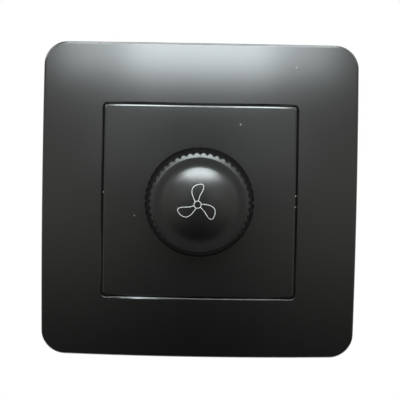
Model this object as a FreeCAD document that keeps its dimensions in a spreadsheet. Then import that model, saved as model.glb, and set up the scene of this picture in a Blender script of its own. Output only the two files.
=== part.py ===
import FreeCAD, Part
import math
import operator
import os
from types import SimpleNamespace

import Sketcher

# A fan speed control switch on a square wall plate, in millimetres.
# Each piece is drawn as it lies face up on a bench: x to the right, y up the wall and z out of the wall
# towards the viewer, with z = 0 on the wall. Its placement then stands it up, so that the wall is the
# plane Y = 0, the knob points to -Y and +Z is up.
SIZES = {
    # Outer frame: a square with a square window. Its front and the panel's are one pillow form, part of a
    # large ball that is highest in the middle of the plate and lowest at the frame's corners.
    "frame_width": 86.0,
    "frame_corner": 6.5,
    "crown_height": 10.2,
    "corner_height": 2.5,
    "frame_wall": 2.0,
    "frame_edge_round": 0.9,
    "window_width": 52.8,
    "window_corner": 1.2,
    "window_edge_bevel": 0.3,
    "collar_wall": 1.6,
    "pry_slot_width": 9.0,
    "pry_slot_height": 1.1,
    # Snap hooks in the frame, and the lugs of the bracket that they catch behind.
    "hook_width": 8.0,
    "hook_reach": 1.7,
    "hook_height": 1.3,
    "hook_catch": 0.8,
    "lug_depth": 2.2,
    "lug_lip": 1.0,
    "snap_gap": 0.3,
    # Centre panel with its round well.
    "panel_gap": 0.4,
    "panel_proud": 0.15,
    "panel_thickness": 2.2,
    "panel_skirt": 1.6,
    "panel_edge_bevel": 0.4,
    "panel_edge_fall": 0.22,
    "flange_reach": 1.2,
    "flange_thickness": 1.2,
    "leg_width": 6.0,
    "leg_thickness": 1.2,
    "leg_spread": 28.0,
    "leg_barb": 0.6,
    "leg_barb_height": 1.3,
    "leg_gap": 0.35,
    "leg_room": 1.4,
    "well_depth": 1.4,
    "well_floor": 1.6,
    "well_bevel": 0.25,
    "spindle_hole": 13.0,
    # Knob: a cap with a low dome on a toothed skirt.
    "knob_diameter": 27.0,
    "knob_height": 8.4,
    "knob_gap": 1.1,
    "knob_lift": 0.6,
    "knob_wall": 1.8,
    "knob_roof": 2.2,
    "skirt_ledge": 0.75,
    "ledge_fall": 0.15,
    "cap_step": 0.5,
    "shoulder_round": 0.35,
    "shoulder_rise": 0.15,
    "dome_diameter": 20.4,
    "dome_rise": 1.3,
    "dome_blend": 0.7,
    "blend_rise": 0.11,
    "hub_diameter": 10.4,
    "tooth_count": 45,
    "tooth_depth": 0.6,
    "tooth_gap": 1.4,
    # Rotary control: shaft, neck, track, wiper, case and switch.
    "shaft_diameter": 6.0,
    "shaft_flat": 1.5,
    "shaft_chamfer": 0.5,
    "shaft_running_gap": 0.03,
    "shaft_fit": 0.05,
    "shaft_end_gap": 0.3,
    "knob_bore_depth": 7.4,
    "spigot_diameter": 4.0,
    "neck_diameter": 7.0,
    "neck_run_out": 0.5,
    "neck_fit": 0.2,
    "thread_fit": 0.05,
    "nut_across": 10.0,
    "nut_thickness": 2.0,
    "washer_diameter": 12.0,
    "washer_thickness": 0.6,
    "pot_diameter": 16.4,
    "pot_flange": 1.6,
    "case_wall": 0.4,
    "case_end": 0.5,
    "case_fit": 0.05,
    "track_thickness": 1.2,
    "track_tongue_width": 12.8,
    "track_tongue_reach": 0.8,
    "wiper_diameter": 13.0,
    "wiper_thickness": 1.9,
    "wiper_ring_width": 0.9,
    "wiper_ring_height": 0.6,
    "wiper_gap": 0.3,
    "wiper_room": 1.0,
    "switch_depth": 5.5,
    "switch_pin_spread": 8.0,
    "pin_pitch": 5.0,
    "pin_width": 1.0,
    "pin_thickness": 0.5,
    "pin_reach": 2.2,
    "pin_fit": 0.15,
    "pin_tail": 0.8,
    # Mounting bracket.
    "bracket_thickness": 2.0,
    "bracket_gap": 1.2,
    "wall_screw_spacing": 60.3,
    "wall_slot_width": 4.4,
    "wall_slot_length": 7.0,
    "pillar_diameter": 6.0,
    "pillar_gap": 0.3,
    # Circuit board and the room for its parts.
    "board_thickness": 1.6,
    "board_gap": 0.4,
    "switch_gap": 0.5,
    "rear_room": 11.6,
    "part_gap": 0.5,
    # Power stage.
    "sink_width": 18.0,
    "sink_length": 16.8,
    "sink_height": 8.0,
    "sink_wall": 1.5,
    "sink_end": 0.3,
    "triac_width": 10.0,
    "triac_length": 15.0,
    "triac_package": 9.0,
    "triac_thickness": 4.5,
    "triac_tab": 1.3,
    "triac_hole_edge": 2.9,
    "triac_lead_pitch": 2.54,
    "triac_lead_width": 0.8,
    "triac_lead_thickness": 0.5,
    "triac_lead_height": 2.4,
    "triac_lead_gap": 0.6,
    "clamp_screw_diameter": 3.0,
    "clamp_head_diameter": 5.4,
    "clamp_head_height": 2.0,
    "clamp_head_gap": 0.4,
    "clamp_nut_across": 5.5,
    "clamp_nut_thickness": 2.4,
    "clamp_fit": 0.1,
    # Small parts on the board.
    "film_length": 17.0,
    "film_width": 7.5,
    "film_height": 11.0,
    "film_round": 0.6,
    "choke_core_diameter": 11.8,
    "choke_core_hole": 6.6,
    "choke_core_height": 5.2,
    "choke_wire": 0.9,
    "choke_fit": 0.1,
    "choke_wound_angle": 300.0,
    "choke_shift": 4.5,
    "timing_length": 7.2,
    "timing_width": 2.6,
    "timing_height": 6.5,
    "timing_inset": 10.8,
    "resistor_inset": 5.6,
    "lead_thickness": 0.6,
    "resistor_length": 6.3,
    "resistor_diameter": 2.4,
    "resistor_bevel": 0.4,
    "resistor_count": 3,
    "resistor_pitch": 4.0,
    "diac_length": 4.0,
    "diac_diameter": 1.9,
    "diac_bevel": 0.3,
    "diac_inset": 6.8,
    "lead_overhang": 1.1,
    "axial_lift": 0.6,
    # Wire terminals.
    "terminal_pitch": 10.0,
    "cage_width": 6.4,
    "cage_height": 7.0,
    "cage_gap": 0.2,
    "cage_bore": 3.4,
    "cage_floor": 1.2,
    "holder_wall": 1.3,
    "holder_clearance": 1.65,
    "terminal_screw_diameter": 3.0,
    "terminal_head_diameter": 4.4,
    "terminal_head_height": 2.3,
    "driver_slot": 0.8,
    "driver_slot_depth": 0.9,
    "head_gap": 0.3,
    # Rear housing.
    "housing_wall": 1.8,
    "housing_corner": 3.0,
    "housing_edge_round": 0.8,
    "wire_hole": 3.8,
    "post_weld": 0.2,
    "post_floor": 2.0,
    "vent_count": 5,
    "vent_pitch": 4.0,
    "vent_width": 1.8,
    "vent_length": 12.0,
    "housing_screw_diameter": 2.9,
    "housing_screw_grip": 8.0,
    "housing_head_diameter": 4.8,
    "housing_head_height": 1.9,
    "screw_fit": 0.05,
    "pilot_run_out": 1.0,
}

FULL_TURN = 360.0
HEX_SIDES = 6
QUARTERS = 4
ON_LEVEL = 1e-4
NEAR_EDGE = 0.02

SIGNS = {"+": operator.add, "-": operator.sub, "*": operator.mul, "/": operator.truediv}


class Length:
    """A number together with the sheet formula that it comes from."""

    def __init__(self, value, formula):
        self.value = value
        self.formula = formula

    def __add__(self, other):
        return combine(self, "+", other)

    def __radd__(self, other):
        return combine(other, "+", self)

    def __sub__(self, other):
        return combine(self, "-", other)

    def __rsub__(self, other):
        return combine(other, "-", self)

    def __mul__(self, other):
        return combine(self, "*", other)

    def __rmul__(self, other):
        return combine(other, "*", self)

    def __truediv__(self, other):
        return combine(self, "/", other)

    def __neg__(self):
        return combine(0, "-", self)


def as_length(value):
    """A plain number as a length with no cell behind it."""
    if isinstance(value, Length):
        return value
    return Length(float(value), str(float(value)))


def combine(left, sign, right):
    """Two lengths under one sign, in numbers and as a formula."""
    first = as_length(left)
    second = as_length(right)
    return Length(SIGNS[sign](first.value, second.value), f"({first.formula} {sign} {second.formula})")


def root(length):
    """The square root of a length times a length."""
    return Length(math.sqrt(length.value), f"sqrt({length.formula})")


doc = FreeCAD.newDocument("fan_speed_switch")
sheet = doc.addObject("Spreadsheet::Sheet", "Sizes")
for row, (alias, number) in enumerate(SIZES.items(), start=1):
    sheet.set(f"A{row}", alias)
    sheet.set(f"B{row}", str(number))
    sheet.setAlias(f"B{row}", alias)
doc.recompute()
size = SimpleNamespace(**{alias: Length(float(number), f"Sizes.{alias}") for alias, number in SIZES.items()})

# Widths that several pieces share.
FRAME_INSIDE = size.frame_width - 2 * size.frame_wall
PANEL_WIDTH = size.window_width - 2 * size.panel_gap
FLANGE_WIDTH = size.window_width + 2 * size.flange_reach
LEG_MIDDLE = FLANGE_WIDTH / 2 - size.leg_thickness / 2
HOUSING_WIDTH = FLANGE_WIDTH - 2 * (size.leg_thickness + size.leg_room)
HOUSING_INSIDE = HOUSING_WIDTH - 2 * size.housing_wall
BOARD_WIDTH = HOUSING_INSIDE - 2 * size.board_gap
PILLAR_PLACE = HOUSING_INSIDE / 2 - size.pillar_gap - size.pillar_diameter / 2
WELL_DIAMETER = size.knob_diameter + 2 * size.knob_gap
BRACKET_WIDTH = FRAME_INSIDE - 2 * size.bracket_gap
HOOK_TIP = FRAME_INSIDE / 2 - size.hook_reach
NOTCH_EDGE = HOOK_TIP - 2 * size.snap_gap
DIAGONAL = math.sqrt(2)


def corner_reach(width, corner):
    """How far the corner of a rounded square lies from its middle."""
    return (width / 2 - corner) * DIAGONAL + corner


def pillow_height(reach, lift):
    """Height of the pillow form at a distance from the knob's axis, raised by a lift along its radius."""
    radius = PILLOW_RADIUS + lift
    return PILLOW_MIDDLE + root(radius * radius - reach * reach)


# The ball that gives the pillow form, through the crown and the frame's four corners.
CORNER_REACH = corner_reach(size.frame_width, size.frame_corner)
PILLOW_DROP = size.crown_height - size.corner_height
PILLOW_RADIUS = (CORNER_REACH * CORNER_REACH + PILLOW_DROP * PILLOW_DROP) / (2 * PILLOW_DROP)
PILLOW_MIDDLE = size.crown_height - PILLOW_RADIUS

# The bracket's corners are rounded as far as the underside of the frame comes down to them.
ROOF_RADIUS = PILLOW_RADIUS - size.frame_wall
ROOF_LEVEL = size.bracket_thickness + size.snap_gap - PILLOW_MIDDLE
BRACKET_REACH = root(ROOF_RADIUS * ROOF_RADIUS - ROOF_LEVEL * ROOF_LEVEL)
BRACKET_CORNER = (BRACKET_WIDTH / 2 * DIAGONAL - BRACKET_REACH) / (DIAGONAL - 1)

# Heights in front of the wall.
FLANGE_FRONT = size.bracket_thickness + size.flange_thickness
PANEL_CROWN = size.crown_height + size.panel_proud
WELL_RIM = pillow_height(WELL_DIAMETER / 2, size.panel_proud)
WELL_FLOOR = WELL_RIM - size.well_depth
KNOB_BASE = WELL_FLOOR + size.knob_lift
SHOULDER = KNOB_BASE + size.knob_height
SHAFT_FRONT = KNOB_BASE + size.knob_bore_depth - size.shaft_end_gap
NUT_FRONT = size.bracket_thickness + size.washer_thickness + size.nut_thickness
NECK_FRONT = NUT_FRONT + size.neck_run_out

# Heights behind the wall, which are negative.
TRACK_FRONT = -size.pot_flange
TRACK_BACK = TRACK_FRONT - size.track_thickness
WIPER_FRONT = TRACK_BACK - size.wiper_gap
WIPER_BACK = WIPER_FRONT - size.wiper_thickness
CASE_FLOOR = WIPER_BACK - size.wiper_room
CASE_BACK = CASE_FLOOR - size.case_end
SWITCH_BACK = CASE_BACK - size.switch_depth
BOARD_FRONT = SWITCH_BACK - size.switch_gap
BOARD_BACK = BOARD_FRONT - size.board_thickness
HOUSING_FLOOR = BOARD_BACK - size.rear_room
HOUSING_BACK = HOUSING_FLOOR - size.housing_wall
SCREW_SEAT = BOARD_BACK - size.post_floor

# Places on the board, and depths behind it. The heat sink stands beside the upper left post, the small
# parts fill the room between it and the film capacitor, and the terminals reach from the wall to the pins.
POST_DIAMETER = size.pillar_diameter + 2 * (size.pillar_gap + size.post_weld)
SINK_X = POST_DIAMETER / 2 + size.part_gap + size.sink_width / 2 - PILLAR_PLACE
SINK_MIDDLE_Y = HOUSING_INSIDE / 2 - size.part_gap - size.board_gap - size.sink_length / 2
SINK_LOW_Y = SINK_MIDDLE_Y - size.sink_length / 2
TRIAC_LOW_Y = SINK_MIDDLE_Y + size.sink_length / 2 - size.sink_end - size.triac_length
CLAMP_Y = TRIAC_LOW_Y + size.triac_length - size.triac_hole_edge
TIMING_X = SINK_X + size.sink_width / 2 + size.part_gap + size.timing_length / 2
RESISTOR_X = HOUSING_INSIDE / 2 - size.film_width - size.resistor_inset - size.part_gap
PIN_ROW_Y = -(size.pot_diameter / 2 + size.pin_reach)
HOLDER_DEPTH = size.rear_room - size.board_gap
HOLDER_LOW_Y = size.board_gap - HOUSING_INSIDE / 2
HOLDER_LENGTH = PIN_ROW_Y - size.pin_thickness / 2 - size.holder_clearance - HOLDER_LOW_Y
CAGE_LENGTH = HOLDER_LENGTH - size.cage_gap - size.holder_wall
CAGE_MIDDLE_Y = HOLDER_LOW_Y + CAGE_LENGTH / 2
CAGE_FRONT = size.holder_wall + size.cage_gap
CAGE_BACK = CAGE_FRONT + size.cage_height
CAGE_BORE_DEPTH = CAGE_FRONT + size.cage_floor + size.cage_bore / 2


def bind(owner, path, length):
    """Tie a property or a sketch constraint to the sheet."""
    owner.setExpression(path, as_length(length).formula)


def new_body(label):
    """An empty piece, standing up with its back on the wall."""
    body = doc.addObject("PartDesign::Body", label)
    body.Label = label
    body.Placement = FreeCAD.Placement(FreeCAD.Vector(0, 0, 0), FreeCAD.Rotation(FreeCAD.Vector(1, 0, 0), 90))
    return body


def stand_on_board(body, across, up):
    """Put a piece on the back of the circuit board, with its own z pointing away from the board."""
    body.Placement = FreeCAD.Placement(
        FreeCAD.Vector(0, 0, 0),
        FreeCAD.Rotation(FreeCAD.Vector(-1, 0, 0), FreeCAD.Vector(0, 0, 1), FreeCAD.Vector(0, 1, 0)),
    )
    bind(body, "Placement.Base.x", across)
    bind(body, "Placement.Base.y", -BOARD_BACK)
    bind(body, "Placement.Base.z", up)


def sketch_on(body, plane, offset=None):
    """An empty sketch on one of the body's own planes, moved out along the plane's normal."""
    sketch = body.newObject("Sketcher::SketchObject", f"{body.Label}_sketch")
    support = next(item for item in body.Origin.OriginFeatures if item.Role == plane)
    sketch.AttachmentSupport = [(support, "")]
    sketch.MapMode = "FlatFace"
    if offset is not None:
        bind(sketch, "AttachmentOffset.Base.z", offset)
    return sketch


def point(across, up):
    """A sketch point from two lengths."""
    return FreeCAD.Vector(as_length(across).value, as_length(up).value, 0)


def hold(sketch, geometry, end, across, up):
    """Hold a point of the sketch at its place from the origin."""
    for kind, length in (("DistanceX", across), ("DistanceY", up)):
        place = as_length(length)
        index = sketch.addConstraint(Sketcher.Constraint(kind, -1, 1, geometry, end, place.value))
        bind(sketch, f"Constraints[{index}]", place)


def measure(sketch, kind, geometry, length):
    """Give a circle or an arc its radius or diameter."""
    index = sketch.addConstraint(Sketcher.Constraint(kind, geometry, length.value))
    bind(sketch, f"Constraints[{index}]", length)


def draw_outline(sketch, corners):
    """A closed outline of straight runs between corners."""
    first = sketch.GeometryCount
    count = len(corners)
    points = [point(*corner) for corner in corners]
    for index in range(count):
        sketch.addGeometry(Part.LineSegment(points[index], points[(index + 1) % count]), False)
    for index in range(count):
        following = first + (index + 1) % count
        sketch.addConstraint(Sketcher.Constraint("Coincident", first + index, 2, following, 1))
    for index, corner in enumerate(corners):
        hold(sketch, first + index, 1, *corner)


def round_corner(sketch, line, radius):
    """Round the corner at the end of a line, keeping the sharp corner as the point that is held."""
    before = sketch.GeometryCount
    sketch.fillet(line, 2, radius.value, True, True)
    for index in range(before, sketch.GeometryCount):
        if isinstance(sketch.Geometry[index], Part.ArcOfCircle):
            measure(sketch, "Radius", index, radius)


def draw_rectangle(sketch, width, height, across=0, up=0):
    """A rectangle about its middle."""
    half_width = as_length(width) / 2
    half_height = as_length(height) / 2
    draw_outline(
        sketch,
        [
            (across - half_width, up - half_height),
            (across + half_width, up - half_height),
            (across + half_width, up + half_height),
            (across - half_width, up + half_height),
        ],
    )


def draw_circle(sketch, diameter, across=0, up=0):
    """A circle about its middle."""
    index = sketch.addGeometry(
        Part.Circle(point(across, up), FreeCAD.Vector(0, 0, 1), as_length(diameter).value / 2), False
    )
    hold(sketch, index, 3, across, up)
    measure(sketch, "Diameter", index, diameter)


def draw_rounded_square(sketch, width, radius):
    """A square about the origin, with four equal corner arcs that run into its sides."""
    corner = width / 2 - radius
    first = sketch.GeometryCount
    for index in range(QUARTERS):
        start = index * math.pi / 2
        middle = FreeCAD.Vector(
            corner.value * math.copysign(1, math.cos(start + math.pi / 4)),
            corner.value * math.copysign(1, math.sin(start + math.pi / 4)),
            0,
        )
        circle = Part.Circle(middle, FreeCAD.Vector(0, 0, 1), radius.value)
        sketch.addGeometry(Part.ArcOfCircle(circle, start, start + math.pi / 2), False)
    arcs = [sketch.Geometry[first + index] for index in range(QUARTERS)]
    for index in range(QUARTERS):
        following = arcs[(index + 1) % QUARTERS]
        sketch.addGeometry(Part.LineSegment(arcs[index].EndPoint, following.StartPoint), False)
    for index in range(QUARTERS):
        arc = first + index
        side = first + QUARTERS + index
        following = first + (index + 1) % QUARTERS
        sketch.addConstraint(Sketcher.Constraint("Tangent", arc, 2, side, 1))
        sketch.addConstraint(Sketcher.Constraint("Tangent", side, 2, following, 1))
        start = index * math.pi / 2 + math.pi / 4
        hold(
            sketch,
            arc,
            3,
            corner if math.cos(start) > 0 else -corner,
            corner if math.sin(start) > 0 else -corner,
        )
        measure(sketch, "Radius", arc, radius)


def draw_slot(sketch, length, width, across, up):
    """A slot along x with round ends."""
    reach = (length - width) / 2
    radius = width / 2
    first = sketch.GeometryCount
    for index, side in enumerate((1, -1)):
        middle = point(across + side * reach, up)
        circle = Part.Circle(middle, FreeCAD.Vector(0, 0, 1), radius.value)
        start = index * math.pi - math.pi / 2
        sketch.addGeometry(Part.ArcOfCircle(circle, start, start + math.pi), False)
    ends = [sketch.Geometry[first], sketch.Geometry[first + 1]]
    sketch.addGeometry(Part.LineSegment(ends[0].EndPoint, ends[1].StartPoint), False)
    sketch.addGeometry(Part.LineSegment(ends[1].EndPoint, ends[0].StartPoint), False)
    for arc, side, following in ((0, 2, 1), (1, 3, 0)):
        sketch.addConstraint(Sketcher.Constraint("Tangent", first + arc, 2, first + side, 1))
        sketch.addConstraint(Sketcher.Constraint("Tangent", first + side, 2, first + following, 1))
    for index, side in enumerate((1, -1)):
        hold(sketch, first + index, 3, across + side * reach, up)
        measure(sketch, "Radius", first + index, radius)


def extrude(body, kind, sketch, length=None, reverse=False, symmetric=False):
    """Pad or pocket a sketch; a pocket with no length goes right through."""
    feature = body.newObject(f"PartDesign::{kind}", f"{body.Label}_{kind.lower()}")
    feature.Profile = sketch
    if length is None:
        feature.Type = "ThroughAll"
    else:
        bind(feature, "Length", length)
    feature.Reversed = reverse
    if symmetric:
        feature.SideType = "Symmetric"
    return feature


def revolve(body, sketch, angle=None, kind="Revolution"):
    """Turn a profile about the body's own z axis, to add it or to cut it away."""
    feature = body.newObject(f"PartDesign::{kind}", f"{body.Label}_{kind.lower()}")
    feature.Profile = sketch
    feature.ReferenceAxis = (sketch, ["V_Axis"])
    if angle is None:
        feature.Angle = FULL_TURN
    else:
        bind(feature, "Angle", angle)
    return feature


def turned_body(label, profile):
    """A piece turned from one profile of radius and height."""
    body = new_body(label)
    sketch = sketch_on(body, "XZ_Plane")
    draw_outline(sketch, profile)
    revolve(body, sketch)
    return body


def draw_pillow_arc(sketch, lift, reach):
    """A stretch of the pillow form from a reach in to the axis, raised or lowered by a lift."""
    radius = PILLOW_RADIUS + lift
    circle = Part.Circle(point(0, PILLOW_MIDDLE), FreeCAD.Vector(0, 0, 1), radius.value)
    start = math.acos(reach.value / radius.value)
    arc = sketch.addGeometry(Part.ArcOfCircle(circle, start, math.pi / 2), False)
    hold(sketch, arc, 3, as_length(0), PILLOW_MIDDLE)
    hold(sketch, arc, 1, reach, pillow_height(reach, lift))
    sketch.addConstraint(Sketcher.Constraint("PointOnObject", arc, 2, -2))
    return arc


def add_pillow_roof(body, width, corner, lift, thickness, spare):
    """A roof of even thickness under the pillow form, cut to a rounded square."""
    reach = corner_reach(width, corner) + spare
    profile = sketch_on(body, "XZ_Plane")
    front = draw_pillow_arc(profile, lift, reach)
    back = draw_pillow_arc(profile, lift - thickness, reach)
    ends = [profile.Geometry[arc].StartPoint for arc in (back, front)]
    tops = [profile.Geometry[arc].EndPoint for arc in (front, back)]
    side = profile.addGeometry(Part.LineSegment(*ends), False)
    axis = profile.addGeometry(Part.LineSegment(*tops), False)
    for end, line, joined in ((1, side, (back, front)), (2, axis, (front, back))):
        for line_end, arc in enumerate(joined, start=1):
            profile.addConstraint(Sketcher.Constraint("Coincident", arc, end, line, line_end))
    revolve(body, profile)
    waste = sketch_on(body, "XY_Plane")
    draw_circle(waste, 2 * (reach + spare))
    draw_rounded_square(waste, width, corner)
    extrude(body, "Pocket", waste, reverse=True)


def trim_to_pillow(body, lift, reach):
    """Cut away what stands in front of the pillow form."""
    profile = sketch_on(body, "XZ_Plane")
    front = draw_pillow_arc(profile, lift, reach)
    clear = size.crown_height + size.corner_height
    corners = [point(reach, clear), point(0, clear)]
    runs = [profile.Geometry[front].StartPoint, *corners, profile.Geometry[front].EndPoint]
    lines = [profile.addGeometry(Part.LineSegment(*pair), False) for pair in zip(runs, runs[1:])]
    profile.addConstraint(Sketcher.Constraint("Coincident", front, 1, lines[0], 1))
    profile.addConstraint(Sketcher.Constraint("Coincident", lines[0], 2, lines[1], 1))
    profile.addConstraint(Sketcher.Constraint("Coincident", lines[1], 2, lines[2], 1))
    profile.addConstraint(Sketcher.Constraint("Coincident", lines[2], 2, front, 2))
    hold(profile, lines[1], 1, reach, clear)
    hold(profile, lines[1], 2, as_length(0), clear)
    revolve(body, profile, kind="Groove")


def repeat_round(body, feature, count):
    """Copies of a feature all the way round the body's z axis."""
    pattern = body.newObject("PartDesign::PolarPattern", f"{body.Label}_ring")
    pattern.Originals = [feature]
    pattern.Axis = (next(item for item in body.Origin.OriginFeatures if item.Role == "Z_Axis"), [""])
    pattern.Angle = FULL_TURN
    bind(pattern, "Occurrences", count)
    body.Tip = pattern
    return pattern


def repeat_along(body, features, axis, count, pitch):
    """Copies of features in a row along one of the body's axes."""
    pattern = body.newObject("PartDesign::LinearPattern", f"{body.Label}_row")
    pattern.Originals = features
    pattern.Direction = (next(item for item in body.Origin.OriginFeatures if item.Role == axis), [""])
    bind(pattern, "Length", (count - 1) * pitch)
    bind(pattern, "Occurrences", count)
    body.Tip = pattern
    return pattern


def finish_edges(body, kind, amount, chosen, across=None):
    """Fillet or chamfer the edges that a test picks on the piece so far, wider across the front if asked."""
    doc.recompute()
    base = body.Tip
    names = [f"Edge{index}" for index, edge in enumerate(base.Shape.Edges, start=1) if chosen(edge)]
    feature = body.newObject(f"PartDesign::{kind}", f"{body.Label}_{kind.lower()}")
    feature.Base = (base, names)
    bind(feature, "Radius" if kind == "Fillet" else "Size", amount)
    if across:
        feature.ChamferType = "Two distances"
        bind(feature, "Size2", across)
    return feature


def level_edge(edge, height):
    """True for an edge that lies wholly at one height."""
    box = edge.BoundBox
    return abs(box.ZMin - height.value) < ON_LEVEL and abs(box.ZMax - height.value) < ON_LEVEL


def edge_reach(edge):
    """How far an edge reaches from the z axis along x or y."""
    box = edge.BoundBox
    return max(abs(box.XMin), abs(box.XMax), abs(box.YMin), abs(box.YMax))


def front_edge(edge, lowest, width):
    """True for an edge of the pillow form along the outline of a square, which is lowest at its corners."""
    along = abs(edge_reach(edge) - width.value / 2) < NEAR_EDGE
    return along and edge.BoundBox.ZMin > lowest.value - NEAR_EDGE


def four_places(across, up):
    """The four mirror images of a place."""
    return [(across, up), (-across, up), (-across, -up), (across, -up)]


def draw_hexagon(sketch, across_flats):
    """A hexagon about the origin, by its width across flats."""
    corner = across_flats / (2 * math.cos(math.pi / HEX_SIDES))
    turns = [index * 2 * math.pi / HEX_SIDES for index in range(HEX_SIDES)]
    draw_outline(sketch, [(corner * math.cos(turn), corner * math.sin(turn)) for turn in turns])


def make_outer_frame():
    """Moulded frame: pillow-shaped roof, upright rim, collar round the window and four snap hooks."""
    body = new_body("outer_frame")
    add_pillow_roof(
        body, size.frame_width, size.frame_corner, as_length(0), size.frame_wall, size.frame_edge_round
    )
    rim = sketch_on(body, "XY_Plane")
    draw_rounded_square(rim, size.frame_width, size.frame_corner)
    draw_rounded_square(rim, FRAME_INSIDE, size.frame_corner - size.frame_wall)
    extrude(body, "Pad", rim, size.crown_height)
    collar_back = FLANGE_FRONT + size.snap_gap
    collar = sketch_on(body, "XY_Plane", collar_back)
    collar_width = size.window_width + 2 * size.collar_wall
    draw_rounded_square(collar, collar_width, size.window_corner + size.collar_wall)
    extrude(body, "Pad", collar, size.crown_height - collar_back)
    trim_to_pillow(body, as_length(0), CORNER_REACH + size.frame_edge_round)
    finish_edges(
        body,
        "Fillet",
        size.frame_edge_round,
        lambda edge: front_edge(edge, size.corner_height, size.frame_width),
    )
    window = sketch_on(body, "XY_Plane")
    draw_rounded_square(window, size.window_width, size.window_corner)
    extrude(body, "Pocket", window, reverse=True)
    lip_height = pillow_height(corner_reach(size.window_width, size.window_corner), as_length(0))
    finish_edges(
        body,
        "Chamfer",
        size.window_edge_bevel,
        lambda edge: front_edge(edge, lip_height, size.window_width),
    )

    hook = sketch_on(body, "XZ_Plane")
    hook_front = size.bracket_thickness
    hook_back = hook_front - size.hook_height
    draw_outline(
        hook,
        [
            (FRAME_INSIDE / 2, hook_back),
            (FRAME_INSIDE / 2, hook_front),
            (HOOK_TIP, hook_front),
            (HOOK_TIP, hook_front - size.hook_height / 2),
        ],
    )
    repeat_round(body, extrude(body, "Pad", hook, size.hook_width, symmetric=True), as_length(QUARTERS))

    pry_slot = sketch_on(body, "XY_Plane")
    slot_middle = (size.frame_wall - size.frame_width) / 2
    draw_rectangle(pry_slot, size.pry_slot_width, size.frame_wall, 0, slot_middle)
    extrude(body, "Pocket", pry_slot, size.pry_slot_height, reverse=True)
    return body


def make_center_plate():
    """Moulded panel: a shallow box behind the face, a flange under the frame, a round well and clip legs."""
    body = new_body("center_plate")
    corner = size.window_corner - size.panel_gap
    inside = PANEL_WIDTH - 2 * size.panel_skirt
    add_pillow_roof(
        body, PANEL_WIDTH, corner, size.panel_proud, size.panel_thickness, size.panel_edge_bevel
    )
    skirt = sketch_on(body, "XY_Plane", size.bracket_thickness)
    draw_rounded_square(skirt, PANEL_WIDTH, corner)
    draw_rounded_square(skirt, inside, corner)
    extrude(body, "Pad", skirt, PANEL_CROWN - size.bracket_thickness)
    boss_back = WELL_FLOOR - size.well_floor
    boss = sketch_on(body, "XY_Plane", boss_back)
    draw_circle(boss, WELL_DIAMETER + 2 * size.panel_skirt)
    extrude(body, "Pad", boss, PANEL_CROWN - boss_back)
    panel_reach = corner_reach(PANEL_WIDTH, corner)
    trim_to_pillow(body, size.panel_proud, panel_reach + size.panel_edge_bevel)
    edge_height = pillow_height(panel_reach, size.panel_proud)
    finish_edges(
        body,
        "Chamfer",
        size.panel_edge_fall,
        lambda edge: front_edge(edge, edge_height, PANEL_WIDTH),
        size.panel_edge_bevel,
    )

    flange = sketch_on(body, "XY_Plane", size.bracket_thickness)
    draw_rounded_square(flange, FLANGE_WIDTH, size.window_corner + size.flange_reach)
    draw_rounded_square(flange, inside, corner)
    extrude(body, "Pad", flange, size.flange_thickness)
    well = sketch_on(body, "XY_Plane", PANEL_CROWN)
    draw_circle(well, WELL_DIAMETER)
    extrude(body, "Pocket", well, PANEL_CROWN - WELL_FLOOR)
    finish_edges(body, "Chamfer", size.well_bevel, lambda edge: level_edge(edge, WELL_RIM))
    spindle = sketch_on(body, "XY_Plane", PANEL_CROWN)
    draw_circle(spindle, size.spindle_hole)
    extrude(body, "Pocket", spindle)

    legs = sketch_on(body, "XY_Plane", size.bracket_thickness)
    barbs = sketch_on(body, "XY_Plane", -size.snap_gap)
    for across, up in four_places(size.leg_spread / 2, LEG_MIDDLE):
        draw_rectangle(legs, size.leg_width, size.leg_thickness, across, up)
    barb_middle = FLANGE_WIDTH / 2 - size.leg_thickness / 2 + size.leg_barb / 2
    for across, up in four_places(size.leg_spread / 2, barb_middle):
        draw_rectangle(barbs, size.leg_width, size.leg_thickness + size.leg_barb, across, up)
    leg_length = size.bracket_thickness + size.snap_gap + size.leg_barb_height
    extrude(body, "Pad", legs, leg_length, reverse=True)
    extrude(body, "Pad", barbs, size.leg_barb_height, reverse=True)
    return body


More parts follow.
